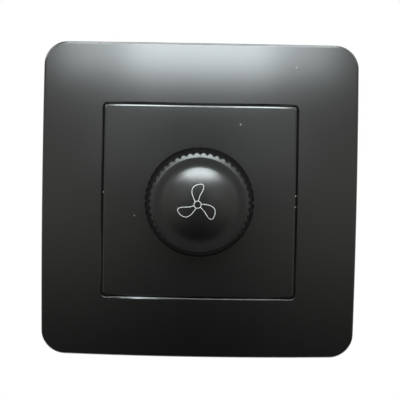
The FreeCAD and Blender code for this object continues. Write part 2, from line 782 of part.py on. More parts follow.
def make_knob():
    """Moulded knob: a toothed skirt, a cap stepped in from it, a low dome, and a hub with a D bore."""
    body = new_body("knob")
    skirt_radius = size.knob_diameter / 2
    shoulder_radius = skirt_radius - size.skirt_ledge
    inside_radius = shoulder_radius - size.knob_wall
    dome_radius = size.dome_diameter / 2
    cap_radius = dome_radius - size.dome_blend
    hub_radius = size.hub_diameter / 2
    roof = SHOULDER - size.knob_roof
    ledge = SHOULDER - size.cap_step
    dome_foot = SHOULDER + size.shoulder_rise
    dome_edge = dome_foot + size.blend_rise
    dome_top = dome_edge + size.dome_rise

    profile = sketch_on(body, "XZ_Plane")
    corners = [
        (as_length(0), KNOB_BASE),
        (hub_radius, KNOB_BASE),
        (hub_radius, roof),
        (inside_radius, roof),
        (inside_radius, KNOB_BASE),
        (skirt_radius, KNOB_BASE),
        (skirt_radius, ledge - size.ledge_fall),
        (shoulder_radius, ledge),
        (shoulder_radius, SHOULDER),
        (dome_radius, dome_foot),
        (cap_radius, dome_edge),
    ]
    points = [point(*corner) for corner in corners]
    crown = point(0, dome_top)
    for start, end in zip(points, points[1:]):
        profile.addGeometry(Part.LineSegment(start, end), False)
    sphere_radius = (cap_radius.value**2 + size.dome_rise.value**2) / (2 * size.dome_rise.value)
    sphere_middle = FreeCAD.Vector(0, dome_top.value - sphere_radius, 0)
    edge_turn = math.atan2(dome_edge.value - sphere_middle.y, cap_radius.value)
    dome = profile.addGeometry(
        Part.ArcOfCircle(
            Part.Circle(sphere_middle, FreeCAD.Vector(0, 0, 1), sphere_radius), edge_turn, math.pi / 2
        ),
        False,
    )
    axis = profile.addGeometry(Part.LineSegment(crown, points[0]), False)
    for index in range(len(corners) - 2):
        profile.addConstraint(Sketcher.Constraint("Coincident", index, 2, index + 1, 1))
    profile.addConstraint(Sketcher.Constraint("Coincident", dome - 1, 2, dome, 1))
    profile.addConstraint(Sketcher.Constraint("Coincident", dome, 2, axis, 1))
    profile.addConstraint(Sketcher.Constraint("Coincident", axis, 2, 0, 1))
    profile.addConstraint(Sketcher.Constraint("PointOnObject", dome, 3, -2))
    for index, corner in enumerate(corners[:-1]):
        hold(profile, index, 1, *corner)
    hold(profile, dome, 1, *corners[-1])
    hold(profile, axis, 1, as_length(0), dome_top)
    cap_side = corners.index((shoulder_radius, SHOULDER)) - 1
    round_corner(profile, cap_side, size.shoulder_round)
    revolve(body, profile)

    bore_radius = size.shaft_diameter / 2 + size.shaft_fit
    flat = size.shaft_diameter / 2 - size.shaft_flat + size.shaft_fit
    bore = sketch_on(body, "XY_Plane", KNOB_BASE)
    draw_d_section(bore, bore_radius, flat)
    extrude(body, "Pocket", bore, size.knob_bore_depth, reverse=True)

    gap = sketch_on(body, "XY_Plane", KNOB_BASE)
    mouth = skirt_radius + size.tooth_depth
    draw_outline(
        gap,
        [
            (as_length(0), skirt_radius - size.tooth_depth),
            (size.tooth_gap, mouth),
            (-size.tooth_gap, mouth),
        ],
    )
    repeat_round(body, extrude(body, "Pocket", gap, reverse=True), size.tooth_count)
    return body


def draw_d_section(sketch, radius, flat):
    """A round section with one flat across its top."""
    half = math.sqrt(radius.value**2 - flat.value**2)
    turn = math.atan2(flat.value, half)
    circle = Part.Circle(FreeCAD.Vector(0, 0, 0), FreeCAD.Vector(0, 0, 1), radius.value)
    arc = sketch.addGeometry(Part.ArcOfCircle(circle, math.pi - turn, 2 * math.pi + turn), False)
    start = FreeCAD.Vector(half, flat.value, 0)
    end = FreeCAD.Vector(-half, flat.value, 0)
    chord = sketch.addGeometry(Part.LineSegment(start, end), False)
    sketch.addConstraint(Sketcher.Constraint("Coincident", arc, 2, chord, 1))
    sketch.addConstraint(Sketcher.Constraint("Coincident", chord, 2, arc, 1))
    sketch.addConstraint(Sketcher.Constraint("Horizontal", chord))
    hold(sketch, arc, 3, as_length(0), as_length(0))
    measure(sketch, "Radius", arc, radius)
    index = sketch.addConstraint(Sketcher.Constraint("DistanceY", -1, 1, chord, 1, flat.value))
    bind(sketch, f"Constraints[{index}]", flat)


def make_pot_shaft():
    """Turned shaft: a spigot for the wiper, a round journal, and a flat over the length inside the knob."""
    body = new_body("pot_shaft")
    journal = sketch_on(body, "XY_Plane", WIPER_FRONT)
    draw_circle(journal, size.shaft_diameter)
    extrude(body, "Pad", journal, SHAFT_FRONT - WIPER_FRONT)
    spigot = sketch_on(body, "XY_Plane", WIPER_FRONT)
    draw_circle(spigot, size.spigot_diameter)
    extrude(body, "Pad", spigot, size.wiper_thickness, reverse=True)
    finish_edges(body, "Chamfer", size.shaft_chamfer, lambda edge: level_edge(edge, SHAFT_FRONT))
    flat = sketch_on(body, "XY_Plane", SHAFT_FRONT)
    draw_rectangle(
        flat, size.shaft_diameter, size.shaft_flat, 0, size.shaft_diameter / 2 - size.shaft_flat / 2
    )
    extrude(body, "Pocket", flat, SHAFT_FRONT - KNOB_BASE)
    return body


def make_pot_bushing():
    """Turned neck with the flange that closes the case; the shaft runs in its bore."""
    bore = size.shaft_diameter / 2 + size.shaft_running_gap
    neck = size.neck_diameter / 2
    flange = size.pot_diameter / 2 - size.case_wall - size.case_fit
    return turned_body(
        "pot_bushing",
        [
            (bore, TRACK_FRONT),
            (flange, TRACK_FRONT),
            (flange, as_length(0)),
            (neck, as_length(0)),
            (neck, NECK_FRONT),
            (bore, NECK_FRONT),
        ],
    )


def make_pot_washer():
    """Flat washer on the bracket, round the neck."""
    bore = size.neck_diameter / 2 + size.neck_fit
    front = size.bracket_thickness + size.washer_thickness
    outside = size.washer_diameter / 2
    return turned_body(
        "pot_washer",
        [(bore, size.bracket_thickness), (outside, size.bracket_thickness), (outside, front), (bore, front)],
    )


def make_pot_nut():
    """Hexagon nut on the neck."""
    body = new_body("pot_nut")
    outline = sketch_on(body, "XY_Plane", size.bracket_thickness + size.washer_thickness)
    draw_hexagon(outline, size.nut_across)
    draw_circle(outline, size.neck_diameter + 2 * size.thread_fit)
    extrude(body, "Pad", outline, size.nut_thickness)
    return body


def make_pot_track():
    """Insulating disc with the resistance track, and the tongue that carries the pins."""
    body = new_body("pot_track")
    disc = sketch_on(body, "XY_Plane", TRACK_BACK)
    disc_diameter = size.pot_diameter - 2 * (size.case_wall + size.case_fit)
    draw_circle(disc, disc_diameter)
    extrude(body, "Pad", disc, size.track_thickness)
    tongue = sketch_on(body, "XY_Plane", TRACK_BACK)
    tongue_end = size.pot_diameter / 2 + size.track_tongue_reach
    draw_rectangle(tongue, size.track_tongue_width, tongue_end, 0, -tongue_end / 2)
    extrude(body, "Pad", tongue, size.track_thickness)
    hole = sketch_on(body, "XY_Plane", TRACK_FRONT)
    draw_circle(hole, size.shaft_diameter + 2 * size.neck_fit)
    extrude(body, "Pocket", hole)
    return body


def make_pot_wiper():
    """Moulded rotor on the shaft's spigot, with the wiper's raised ring towards the track."""
    bore = size.spigot_diameter / 2 + size.shaft_running_gap
    outside = size.wiper_diameter / 2
    hub = size.shaft_diameter / 2 + size.wiper_ring_width / 2
    ring_inside = outside - 2 * size.wiper_ring_width
    ring_outside = outside - size.wiper_ring_width
    floor = WIPER_FRONT - size.wiper_ring_height
    return turned_body(
        "pot_wiper",
        [
            (bore, WIPER_BACK),
            (outside, WIPER_BACK),
            (outside, floor),
            (ring_outside, floor),
            (ring_outside, WIPER_FRONT),
            (ring_inside, WIPER_FRONT),
            (ring_inside, floor),
            (hub, floor),
            (hub, WIPER_FRONT),
            (bore, WIPER_FRONT),
        ],
    )


def make_pot_case():
    """Pressed cup over the track and the wiper, cut away below for the tongue."""
    outside = size.pot_diameter / 2
    inside = outside - size.case_wall
    body = turned_body(
        "pot_case",
        [
            (as_length(0), CASE_BACK),
            (outside, CASE_BACK),
            (outside, as_length(0)),
            (inside, as_length(0)),
            (inside, CASE_FLOOR),
            (as_length(0), CASE_FLOOR),
        ],
    )
    notch = sketch_on(body, "XY_Plane")
    draw_rectangle(
        notch, size.track_tongue_width + 2 * size.neck_fit, outside, 0, -outside / 2 - size.case_wall
    )
    extrude(body, "Pocket", notch, size.pot_flange + size.track_thickness + 2 * size.pin_thickness)
    return body


def make_pot_switch():
    """Sealed on/off switch on the back of the control."""
    outside = size.pot_diameter / 2
    step = outside - size.case_wall
    return turned_body(
        "pot_switch",
        [
            (as_length(0), SWITCH_BACK),
            (step, SWITCH_BACK),
            (step, SWITCH_BACK + size.case_end),
            (outside, SWITCH_BACK + size.case_end),
            (outside, CASE_BACK),
            (as_length(0), CASE_BACK),
        ],
    )


def make_pot_pins():
    """Three bent legs from the tongue of the track, back through the board."""
    body = new_body("pot_pins")
    leg = sketch_on(body, "YZ_Plane", -size.pin_pitch)
    start = -(size.pot_diameter / 2 - size.case_wall)
    bend = TRACK_BACK - size.pin_thickness
    tail = BOARD_BACK - size.pin_tail
    outer = PIN_ROW_Y - size.pin_thickness / 2
    inner = PIN_ROW_Y + size.pin_thickness / 2
    over = [(start, TRACK_BACK), (outer, TRACK_BACK), (outer, tail)]
    under = [(inner, tail), (inner, bend), (start, bend)]
    draw_outline(leg, over + under)
    first = extrude(body, "Pad", leg, size.pin_width, symmetric=True)
    repeat_along(body, [first], "X_Axis", as_length(3), size.pin_pitch)
    return body


def make_switch_pins():
    """Two straight legs from the back of the switch through the board."""
    body = new_body("switch_pins")
    legs = sketch_on(body, "XY_Plane", SWITCH_BACK)
    for side in (-1, 1):
        across = side * size.switch_pin_spread / 2
        draw_rectangle(legs, size.pin_width, size.pin_thickness, across)
    extrude(body, "Pad", legs, SWITCH_BACK - BOARD_BACK + size.pin_tail, reverse=True)
    return body


def make_mounting_bracket():
    """Moulded plate on the wall: screw slots, the neck's hole, lugs for the frame, pillars for the board."""
    body = new_body("mounting_bracket")
    plate = sketch_on(body, "XY_Plane")
    draw_rounded_square(plate, BRACKET_WIDTH, BRACKET_CORNER)
    extrude(body, "Pad", plate, size.bracket_thickness)

    notch = sketch_on(body, "XY_Plane")
    notch_depth = FRAME_INSIDE / 2 - size.bracket_gap - NOTCH_EDGE
    draw_rectangle(
        notch, notch_depth, size.hook_width + 4 * size.snap_gap, NOTCH_EDGE + notch_depth / 2, as_length(0)
    )
    repeat_round(body, extrude(body, "Pocket", notch, reverse=True), as_length(QUARTERS))

    lug = sketch_on(body, "XZ_Plane")
    lip_back = size.bracket_thickness + size.snap_gap
    lip_front = lip_back + size.lug_lip
    lip_end = HOOK_TIP + size.hook_catch
    draw_outline(
        lug,
        [
            (NOTCH_EDGE - size.lug_depth, size.bracket_thickness),
            (NOTCH_EDGE, size.bracket_thickness),
            (NOTCH_EDGE, lip_back),
            (lip_end, lip_back),
            (lip_end, lip_front),
            (NOTCH_EDGE - size.lug_depth, lip_front),
        ],
    )
    repeat_round(body, extrude(body, "Pad", lug, size.hook_width, symmetric=True), as_length(QUARTERS))

    openings = sketch_on(body, "XY_Plane")
    draw_circle(openings, size.neck_diameter + 2 * size.neck_fit)
    for side in (-1, 1):
        draw_slot(
            openings,
            size.wall_slot_length,
            size.wall_slot_width,
            side * size.wall_screw_spacing / 2,
            as_length(0),
        )
    leg_slot_depth = size.leg_thickness + size.leg_barb + 2 * size.leg_gap
    leg_slot_middle = LEG_MIDDLE + size.leg_barb / 2
    for across, up in four_places(size.leg_spread / 2, leg_slot_middle):
        draw_rectangle(openings, size.leg_width + 2 * size.leg_gap, leg_slot_depth, across, up)
    extrude(body, "Pocket", openings, reverse=True)

    pillars = sketch_on(body, "XY_Plane")
    pilots = sketch_on(body, "XY_Plane", BOARD_FRONT)
    for across, up in four_places(PILLAR_PLACE, PILLAR_PLACE):
        draw_circle(pillars, size.pillar_diameter, across, up)
        draw_circle(pilots, size.housing_screw_diameter + 2 * size.screw_fit, across, up)
    extrude(body, "Pad", pillars, -BOARD_FRONT, reverse=True)
    extrude(body, "Pocket", pilots, size.housing_screw_grip + size.pilot_run_out, reverse=True)
    return body


def make_circuit_board():
    """Board between the pillars and the housing's posts, with holes for the screws and the pins."""
    body = new_body("circuit_board")
    outline = sketch_on(body, "XY_Plane", BOARD_BACK)
    draw_rounded_square(outline, BOARD_WIDTH, size.housing_corner - size.housing_wall)
    extrude(body, "Pad", outline, size.board_thickness)
    holes = sketch_on(body, "XY_Plane", BOARD_BACK)
    for across, up in four_places(PILLAR_PLACE, PILLAR_PLACE):
        draw_circle(holes, size.housing_screw_diameter + 2 * size.clamp_fit, across, up)
    draw_circle(holes, size.clamp_screw_diameter + 2 * size.clamp_fit, SINK_X, CLAMP_Y)
    pin_hole_width = size.pin_width + 2 * size.pin_fit
    pin_hole_height = size.pin_thickness + 2 * size.pin_fit
    for step in (-1, 0, 1):
        draw_rectangle(holes, pin_hole_width, pin_hole_height, step * size.pin_pitch, PIN_ROW_Y)
    for side in (-1, 1):
        draw_rectangle(
            holes, pin_hole_width, pin_hole_height, side * size.switch_pin_spread / 2, as_length(0)
        )
    extrude(body, "Pocket", holes, reverse=True)
    return body


def make_heat_sink():
    """Aluminium channel, open away from the board, with a hole for the clamp screw."""
    body = new_body("heat_sink")
    stand_on_board(body, SINK_X, SINK_MIDDLE_Y)
    outer = size.sink_width / 2
    inner = outer - size.sink_wall
    channel = sketch_on(body, "XZ_Plane")
    draw_outline(
        channel,
        [
            (-outer, as_length(0)),
            (outer, as_length(0)),
            (outer, size.sink_height),
            (inner, size.sink_height),
            (inner, size.sink_wall),
            (-inner, size.sink_wall),
            (-inner, size.sink_height),
            (-outer, size.sink_height),
        ],
    )
    extrude(body, "Pad", channel, size.sink_length, symmetric=True)
    hole = sketch_on(body, "XY_Plane")
    draw_circle(hole, size.clamp_screw_diameter + 2 * size.clamp_fit, as_length(0), CLAMP_Y - SINK_MIDDLE_Y)
    extrude(body, "Pocket", hole, reverse=True)
    return body


def make_triac():
    """Power package lying in the channel: a drilled tab, a moulded body and three bent leads to the board."""
    body = new_body("triac")
    stand_on_board(body, SINK_X, TRIAC_LOW_Y)
    hole_up = size.triac_length - size.triac_hole_edge
    package_low = hole_up - size.clamp_head_diameter / 2 - size.clamp_head_gap - size.triac_package
    tab = sketch_on(body, "XY_Plane", size.sink_wall)
    draw_rectangle(tab, size.triac_width, size.triac_length, 0, size.triac_length / 2)
    draw_circle(tab, size.clamp_screw_diameter + 2 * size.clamp_fit, as_length(0), hole_up)
    extrude(body, "Pad", tab, size.triac_tab)
    package = sketch_on(body, "XY_Plane", size.sink_wall)
    draw_rectangle(package, size.triac_width, size.triac_package, 0, package_low + size.triac_package / 2)
    extrude(body, "Pad", package, size.triac_thickness)
    lead = sketch_on(body, "YZ_Plane", -size.triac_lead_pitch)
    lead_front = size.sink_wall + size.triac_lead_height
    lead_back = lead_front + size.triac_lead_thickness
    bend_outside = SINK_LOW_Y - TRIAC_LOW_Y - size.triac_lead_gap - size.triac_lead_thickness
    bend_inside = bend_outside + size.triac_lead_thickness
    draw_outline(
        lead,
        [
            (package_low, lead_front),
            (package_low, lead_back),
            (bend_outside, lead_back),
            (bend_outside, as_length(0)),
            (bend_inside, as_length(0)),
            (bend_inside, lead_front),
        ],
    )
    first = extrude(body, "Pad", lead, size.triac_lead_width, symmetric=True)
    repeat_along(body, [first], "X_Axis", as_length(3), size.triac_lead_pitch)
    return body


def make_triac_screw():
    """Pan head screw through the tab, the channel and the board."""
    seat = size.sink_wall + size.triac_tab
    shank = size.clamp_screw_diameter / 2
    head = size.clamp_head_diameter / 2
    tip = -(size.board_thickness + size.clamp_nut_thickness + size.pin_tail)
    body = turned_body(
        "triac_screw",
        [
            (as_length(0), tip),
            (shank, tip),
            (shank, seat),
            (head, seat),
            (head, seat + size.clamp_head_height),
            (as_length(0), seat + size.clamp_head_height),
        ],
    )
    stand_on_board(body, SINK_X, CLAMP_Y)
    cut_driver_slot(body, seat + size.clamp_head_height, size.clamp_head_diameter)
    return body


def cut_driver_slot(body, top, head_diameter):
    """A straight slot across a screw's head."""
    slot = sketch_on(body, "XY_Plane", top)
    draw_rectangle(slot, head_diameter + 2 * size.driver_slot, size.driver_slot)
    return extrude(body, "Pocket", slot, size.driver_slot_depth)


def make_triac_nut():
    """Hexagon nut on the front of the board."""
    body = new_body("triac_nut")
    stand_on_board(body, SINK_X, CLAMP_Y)
    outline = sketch_on(body, "XY_Plane", -size.board_thickness)
    draw_hexagon(outline, size.clamp_nut_across)
    draw_circle(outline, size.clamp_screw_diameter + 2 * size.thread_fit)
    extrude(body, "Pad", outline, size.clamp_nut_thickness, reverse=True)
    return body


def boxed_part(label, width, length, height, across, up):
    """A moulded box standing on the board, with its upright edges and its top rounded."""
    body = new_body(label)
    stand_on_board(body, across, up)
    base = sketch_on(body, "XY_Plane")
    draw_rectangle(base, width, length)
    extrude(body, "Pad", base, height)
    finish_edges(body, "Fillet", size.film_round, lambda edge: edge.BoundBox.ZMax > ON_LEVEL)
    return body


def make_film_capacitor():
    """Interference capacitor along the side of the board."""
    across = HOUSING_INSIDE / 2 - size.part_gap - size.film_width / 2
    return boxed_part(
        "film_capacitor", size.film_width, size.film_length, size.film_height, across, as_length(0)
    )


def make_timing_capacitor():
    """Small timing capacitor."""
    return boxed_part(
        "timing_capacitor",
        size.timing_length,
        size.timing_width,
        size.timing_height,
        TIMING_X,
        BOARD_WIDTH / 2 - size.timing_inset,
    )


def choke_section(sketch, spread):
    """Section of the ring core, or of what lies round it at a spread."""
    lift = size.choke_wire + size.choke_fit
    outside = size.choke_core_diameter / 2 + spread
    inside = size.choke_core_hole / 2 - spread
    bottom = lift - spread
    top = lift + size.choke_core_height + spread
    draw_outline(sketch, [(inside, bottom), (outside, bottom), (outside, top), (inside, top)])


def place_choke(body):
    """The choke's place by the side of the board."""
    radius = size.choke_core_diameter / 2 + size.choke_wire + size.choke_fit
    stand_on_board(body, radius + size.part_gap - HOUSING_INSIDE / 2, -size.choke_shift)


def make_choke_core():
    """Ring core."""
    body = new_body("choke_core")
    place_choke(body)
    section = sketch_on(body, "XZ_Plane")
    choke_section(section, as_length(0))
    revolve(body, section)
    return body


def make_choke_winding():
    """Wire wound round the ring, apart from the stretch where its two ends leave."""
    body = new_body("choke_winding")
    place_choke(body)
    section = sketch_on(body, "XZ_Plane")
    choke_section(section, size.choke_fit)
    choke_section(section, size.choke_fit + size.choke_wire)
    revolve(body, section, size.choke_wound_angle)
    return body


def axial_part(label, length, diameter, bevel, across, up):
    """A small round part lying along x over the board, on two leads bent down to it."""
    body = new_body(label)
    stand_on_board(body, across, up)
    middle = size.axial_lift + diameter / 2
    outer = length / 2 + size.lead_overhang
    inner = outer - size.lead_thickness
    lead_top = middle + size.lead_thickness / 2
    lead_bottom = middle - size.lead_thickness / 2
    barrel = sketch_on(body, "YZ_Plane")
    draw_circle(barrel, diameter, as_length(0), middle)
    extrude(body, "Pad", barrel, length, symmetric=True)
    ends = length.value / 2 - ON_LEVEL
    finish_edges(body, "Chamfer", bevel, lambda edge: min(abs(v.X) for v in edge.Vertexes) > ends)
    leads = sketch_on(body, "XZ_Plane")
    draw_outline(
        leads,
        [
            (-outer, as_length(0)),
            (-inner, as_length(0)),
            (-inner, lead_bottom),
            (inner, lead_bottom),
            (inner, as_length(0)),
            (outer, as_length(0)),
            (outer, lead_top),
            (-outer, lead_top),
        ],
    )
    extrude(body, "Pad", leads, size.lead_thickness, symmetric=True)
    return body


def make_resistors():
    """Three resistors side by side."""
    row_start = -size.resistor_pitch * size.resistor_count / 2
    body = axial_part(
        "resistors", size.resistor_length, size.resistor_diameter, size.resistor_bevel, RESISTOR_X, row_start
    )
    row = body.newObject("PartDesign::LinearPattern", "resistors_row")
    row.Direction = (next(item for item in body.Origin.OriginFeatures if item.Role == "Y_Axis"), [""])
    row.TransformMode = "Whole shape"
    bind(row, "Length", (size.resistor_count - 1) * size.resistor_pitch)
    bind(row, "Occurrences", size.resistor_count)
    body.Tip = row
    return body


def make_diac():
    """Trigger diode."""
    up = BOARD_WIDTH / 2 - size.diac_inset
    return axial_part("diac", size.diac_length, size.diac_diameter, size.diac_bevel, TIMING_X, up)


def make_terminal_holder():
    """Moulded block with two pockets for the wire terminals and a round way in to each screw."""
    body = new_body("terminal_holder")
    stand_on_board(body, as_length(0), HOLDER_LOW_Y)
    width = size.terminal_pitch + size.cage_width + 2 * (size.cage_gap + size.holder_wall)
    block = sketch_on(body, "XY_Plane")
    draw_rectangle(block, width, HOLDER_LENGTH, 0, HOLDER_LENGTH / 2)
    extrude(body, "Pad", block, HOLDER_DEPTH)
    pockets = sketch_on(body, "XZ_Plane")
    ways_in = sketch_on(body, "XY_Plane", HOLDER_DEPTH)
    for side in (-1, 1):
        across = side * size.terminal_pitch / 2
        draw_rectangle(
            pockets,
            size.cage_width + 2 * size.cage_gap,
            size.cage_height + 2 * size.cage_gap,
            across,
            (CAGE_FRONT + CAGE_BACK) / 2,
        )
        draw_circle(
            ways_in, size.terminal_head_diameter + 2 * size.head_gap, across, CAGE_MIDDLE_Y - HOLDER_LOW_Y
        )
    extrude(body, "Pocket", pockets, CAGE_LENGTH + size.cage_gap)
    extrude(body, "Pocket", ways_in, HOLDER_DEPTH - CAGE_BACK)
    return body


def make_terminal_cages():
    """Two brass blocks, each with a bore for the wire and a tapped hole for its screw."""
    body = new_body("terminal_cages")
    stand_on_board(body, as_length(0), HOLDER_LOW_Y)
    blocks = sketch_on(body, "XY_Plane", CAGE_FRONT)
    bores = sketch_on(body, "XZ_Plane")
    taps = sketch_on(body, "XY_Plane", CAGE_BACK)
    for side in (-1, 1):
        across = side * size.terminal_pitch / 2
        draw_rectangle(blocks, size.cage_width, CAGE_LENGTH, across, CAGE_LENGTH / 2)
        draw_circle(bores, size.cage_bore, across, CAGE_BORE_DEPTH)
        draw_circle(taps, size.terminal_screw_diameter + 2 * size.thread_fit, across, CAGE_LENGTH / 2)
    extrude(body, "Pad", blocks, size.cage_height)
    extrude(body, "Pocket", bores)
    extrude(body, "Pocket", taps, CAGE_BACK - CAGE_BORE_DEPTH)
    return body


def make_terminal_screws():
    """Two slotted terminal screws, backed off so that both bores are clear."""
    head = size.terminal_head_diameter / 2
    shank = size.terminal_screw_diameter / 2
    tip = CAGE_BORE_DEPTH + size.cage_bore / 2
    top = CAGE_BACK + size.terminal_head_height
    body = new_body("terminal_screws")
    stand_on_board(body, size.terminal_pitch / 2, CAGE_MIDDLE_Y)
    profile = sketch_on(body, "XZ_Plane")
    draw_outline(
        profile,
        [
            (as_length(0), tip),
            (shank, tip),
            (shank, CAGE_BACK),
            (head, CAGE_BACK),
            (head, top),
            (as_length(0), top),
        ],
    )
    screw = revolve(body, profile)
    slot = cut_driver_slot(body, top, size.terminal_head_diameter)
    repeat_along(body, [screw, slot], "X_Axis", as_length(2), size.terminal_pitch)
    return body


def make_rear_housing():
    """Moulded box behind the bracket: corner posts, wire holes below, vents and driver holes behind."""
    body = new_body("rear_housing")
    shell = sketch_on(body, "XY_Plane", HOUSING_BACK)
    draw_rounded_square(shell, HOUSING_WIDTH, size.housing_corner)
    extrude(body, "Pad", shell, -HOUSING_BACK)
    hollow = sketch_on(body, "XY_Plane")
    draw_rounded_square(hollow, HOUSING_INSIDE, size.housing_corner - size.housing_wall)
    extrude(body, "Pocket", hollow, -HOUSING_FLOOR)
    finish_edges(body, "Fillet", size.housing_edge_round, lambda edge: level_edge(edge, HOUSING_BACK))

    posts = sketch_on(body, "XY_Plane", HOUSING_FLOOR)
    wells = sketch_on(body, "XY_Plane", HOUSING_BACK)
    holes = sketch_on(body, "XY_Plane", HOUSING_BACK)
    for across, up in four_places(PILLAR_PLACE, PILLAR_PLACE):
        draw_circle(posts, POST_DIAMETER, across, up)
        draw_circle(wells, size.housing_head_diameter + 2 * size.head_gap, across, up)
        draw_circle(holes, size.housing_screw_diameter + 2 * size.clamp_fit, across, up)
    extrude(body, "Pad", posts, size.rear_room)
    extrude(body, "Pocket", wells, SCREW_SEAT - HOUSING_BACK, reverse=True)
    extrude(body, "Pocket", holes, BOARD_BACK - HOUSING_BACK, reverse=True)

    driver_holes = sketch_on(body, "XY_Plane", HOUSING_BACK)
    wire_holes = sketch_on(body, "XZ_Plane", HOUSING_WIDTH / 2)
    for side in (-1, 1):
        across = side * size.terminal_pitch / 2
        draw_circle(driver_holes, size.terminal_head_diameter, across, CAGE_MIDDLE_Y)
        draw_circle(wire_holes, size.wire_hole, across, BOARD_BACK - CAGE_BORE_DEPTH)
    extrude(body, "Pocket", driver_holes, size.housing_wall, reverse=True)
    extrude(body, "Pocket", wire_holes, size.housing_wall)

    vent = sketch_on(body, "XY_Plane", HOUSING_BACK)
    row_start = SINK_X - size.vent_pitch * (size.vent_count - 1) / 2
    draw_rectangle(vent, size.vent_width, size.vent_length, row_start, SINK_MIDDLE_Y)
    first = extrude(body, "Pocket", vent, size.housing_wall, reverse=True)
    repeat_along(body, [first], "X_Axis", size.vent_count, size.vent_pitch)
    return body


def make_housing_screws():
    """Four self-tapping screws from behind, through the housing and the board into the pillars."""
    body = new_body("housing_screws")
    heads = sketch_on(body, "XY_Plane", SCREW_SEAT)
    shanks = sketch_on(body, "XY_Plane", SCREW_SEAT)
    slots = sketch_on(body, "XY_Plane", SCREW_SEAT - size.housing_head_height)
    for across, up in four_places(PILLAR_PLACE, PILLAR_PLACE):
        draw_circle(heads, size.housing_head_diameter, across, up)
        draw_circle(shanks, size.housing_screw_diameter, across, up)
        draw_rectangle(slots, 2 * size.housing_head_diameter, size.driver_slot, across, up)
    extrude(body, "Pad", heads, size.housing_head_height, reverse=True)
    extrude(body, "Pad", shanks, BOARD_FRONT - SCREW_SEAT + size.housing_screw_grip)
    extrude(body, "Pocket", slots, size.driver_slot_depth, reverse=True)
    return body


SUBPARTS = [
    make_outer_frame,
    make_center_plate,
    make_knob,
    make_mounting_bracket,
    make_pot_shaft,
    make_pot_bushing,
    make_pot_washer,
    make_pot_nut,
    make_pot_track,
    make_pot_wiper,
    make_pot_case,
    make_pot_switch,
    make_pot_pins,
    make_switch_pins,
    make_circuit_board,
    make_heat_sink,
    make_triac,
    make_triac_screw,
    make_triac_nut,
    make_film_capacitor,
    make_timing_capacitor,
    make_choke_core,
    make_choke_winding,
    make_resistors,
    make_diac,
    make_terminal_holder,
    make_terminal_cages,
    make_terminal_screws,
    make_rear_housing,
    make_housing_screws,
]
bodies = [make() for make in SUBPARTS]
doc.recompute()

# Nothing is written unless every object is sound and every cut took material away.
for item in doc.Objects:
    if "Invalid" in item.State or "Error" in item.State:
        raise RuntimeError(f"{item.Label} failed: {item.State}")
    if item.TypeId in ("PartDesign::Pocket", "PartDesign::SubtractiveLoft"):
        if item.Shape.Volume >= item.BaseFeature.Shape.Volume:
            raise RuntimeError(f"{item.Label} cuts nothing")
for body in bodies:
    if body.Shape.isNull() or not body.Shape.isValid():
        raise RuntimeError(f"{body.Label} has no valid shape")

os.makedirs("parts", exist_ok=True)
for body in bodies:
    body.Shape.exportStep(f"parts/{body.Label}.step")
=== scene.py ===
import math

import bmesh
import bpy
from mathutils import Matrix, Vector


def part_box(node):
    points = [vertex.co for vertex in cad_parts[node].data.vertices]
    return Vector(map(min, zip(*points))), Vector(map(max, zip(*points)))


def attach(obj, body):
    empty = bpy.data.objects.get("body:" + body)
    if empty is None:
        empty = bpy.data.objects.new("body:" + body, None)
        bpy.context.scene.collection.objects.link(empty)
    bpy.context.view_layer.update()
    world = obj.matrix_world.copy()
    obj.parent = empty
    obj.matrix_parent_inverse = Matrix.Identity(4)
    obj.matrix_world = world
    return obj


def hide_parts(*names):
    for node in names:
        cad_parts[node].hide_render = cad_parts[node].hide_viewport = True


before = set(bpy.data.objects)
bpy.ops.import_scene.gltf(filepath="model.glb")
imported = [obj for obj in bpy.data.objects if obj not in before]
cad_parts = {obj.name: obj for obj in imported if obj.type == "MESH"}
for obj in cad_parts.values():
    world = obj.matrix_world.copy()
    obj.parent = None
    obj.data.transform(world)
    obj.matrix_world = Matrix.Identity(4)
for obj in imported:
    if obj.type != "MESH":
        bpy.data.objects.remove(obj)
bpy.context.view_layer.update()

# Circuit board: the square plate that carries every electrical piece behind the bracket.
# It is glass fibre laminate under green lacquer, and the copper tracks show through as paler green bands;
# its corners are notched round the bracket's pillars.
BOARD_GREEN = (0.020, 0.105, 0.038, 1.0)
BOARD_TRACK = (0.045, 0.200, 0.060, 1.0)
BOARD_ROUGHNESS = 0.32
TRACK_SPACING = 0.0042
TRACK_DISORDER = 0.8
TRACK_EDGE = (0.62, 0.66)
WEAVE_SPACING = 0.0006
WEAVE_SHARE = 0.15
BOARD_RELIEF = 0.00003


def feed(tree, socket, value):
    """Links an input to another node's output, or sets it where the value is plain."""
    if isinstance(value, bpy.types.NodeSocket):
        tree.links.new(value, socket)
    else:
        socket.default_value = value


def add_node(tree, kind, values=None, **settings):
    """A node of this kind with its settings and its inputs."""
    node = tree.nodes.new(kind)
    for name, value in settings.items():
        setattr(node, name, value)
    for name, value in (values or {}).items():
        feed(tree, node.inputs[name], value)
    return node


def work_out(tree, operation, *values, clamp=False):
    """The result of one step of arithmetic in a node tree."""
    node = add_node(tree, "ShaderNodeMath", operation=operation, use_clamp=clamp)
    for socket, value in zip(node.inputs, values):
        feed(tree, socket, value)
    return node.outputs["Value"]


def ramp(tree, value, start, end, low=0.0, high=1.0):
    """A value eased from low to high between a start and an end."""
    limits = {"From Min": start, "From Max": end, "To Min": low, "To Max": high}
    node = add_node(tree, "ShaderNodeMapRange", {"Value": value, **limits}, interpolation_type="SMOOTHSTEP")
    return node.outputs["Result"]


def blend_colours(tree, factor, first, second):
    """One colour that passes into another."""
    node = add_node(tree, "ShaderNodeMix", data_type="RGBA")
    feed(tree, node.inputs["Factor"], factor)
    for name, colour in (("A", first), ("B", second)):
        socket = next(s for s in node.inputs if s.name == name and s.type == "RGBA")
        feed(tree, socket, colour)
    return next(s for s in node.outputs if s.type == "RGBA")


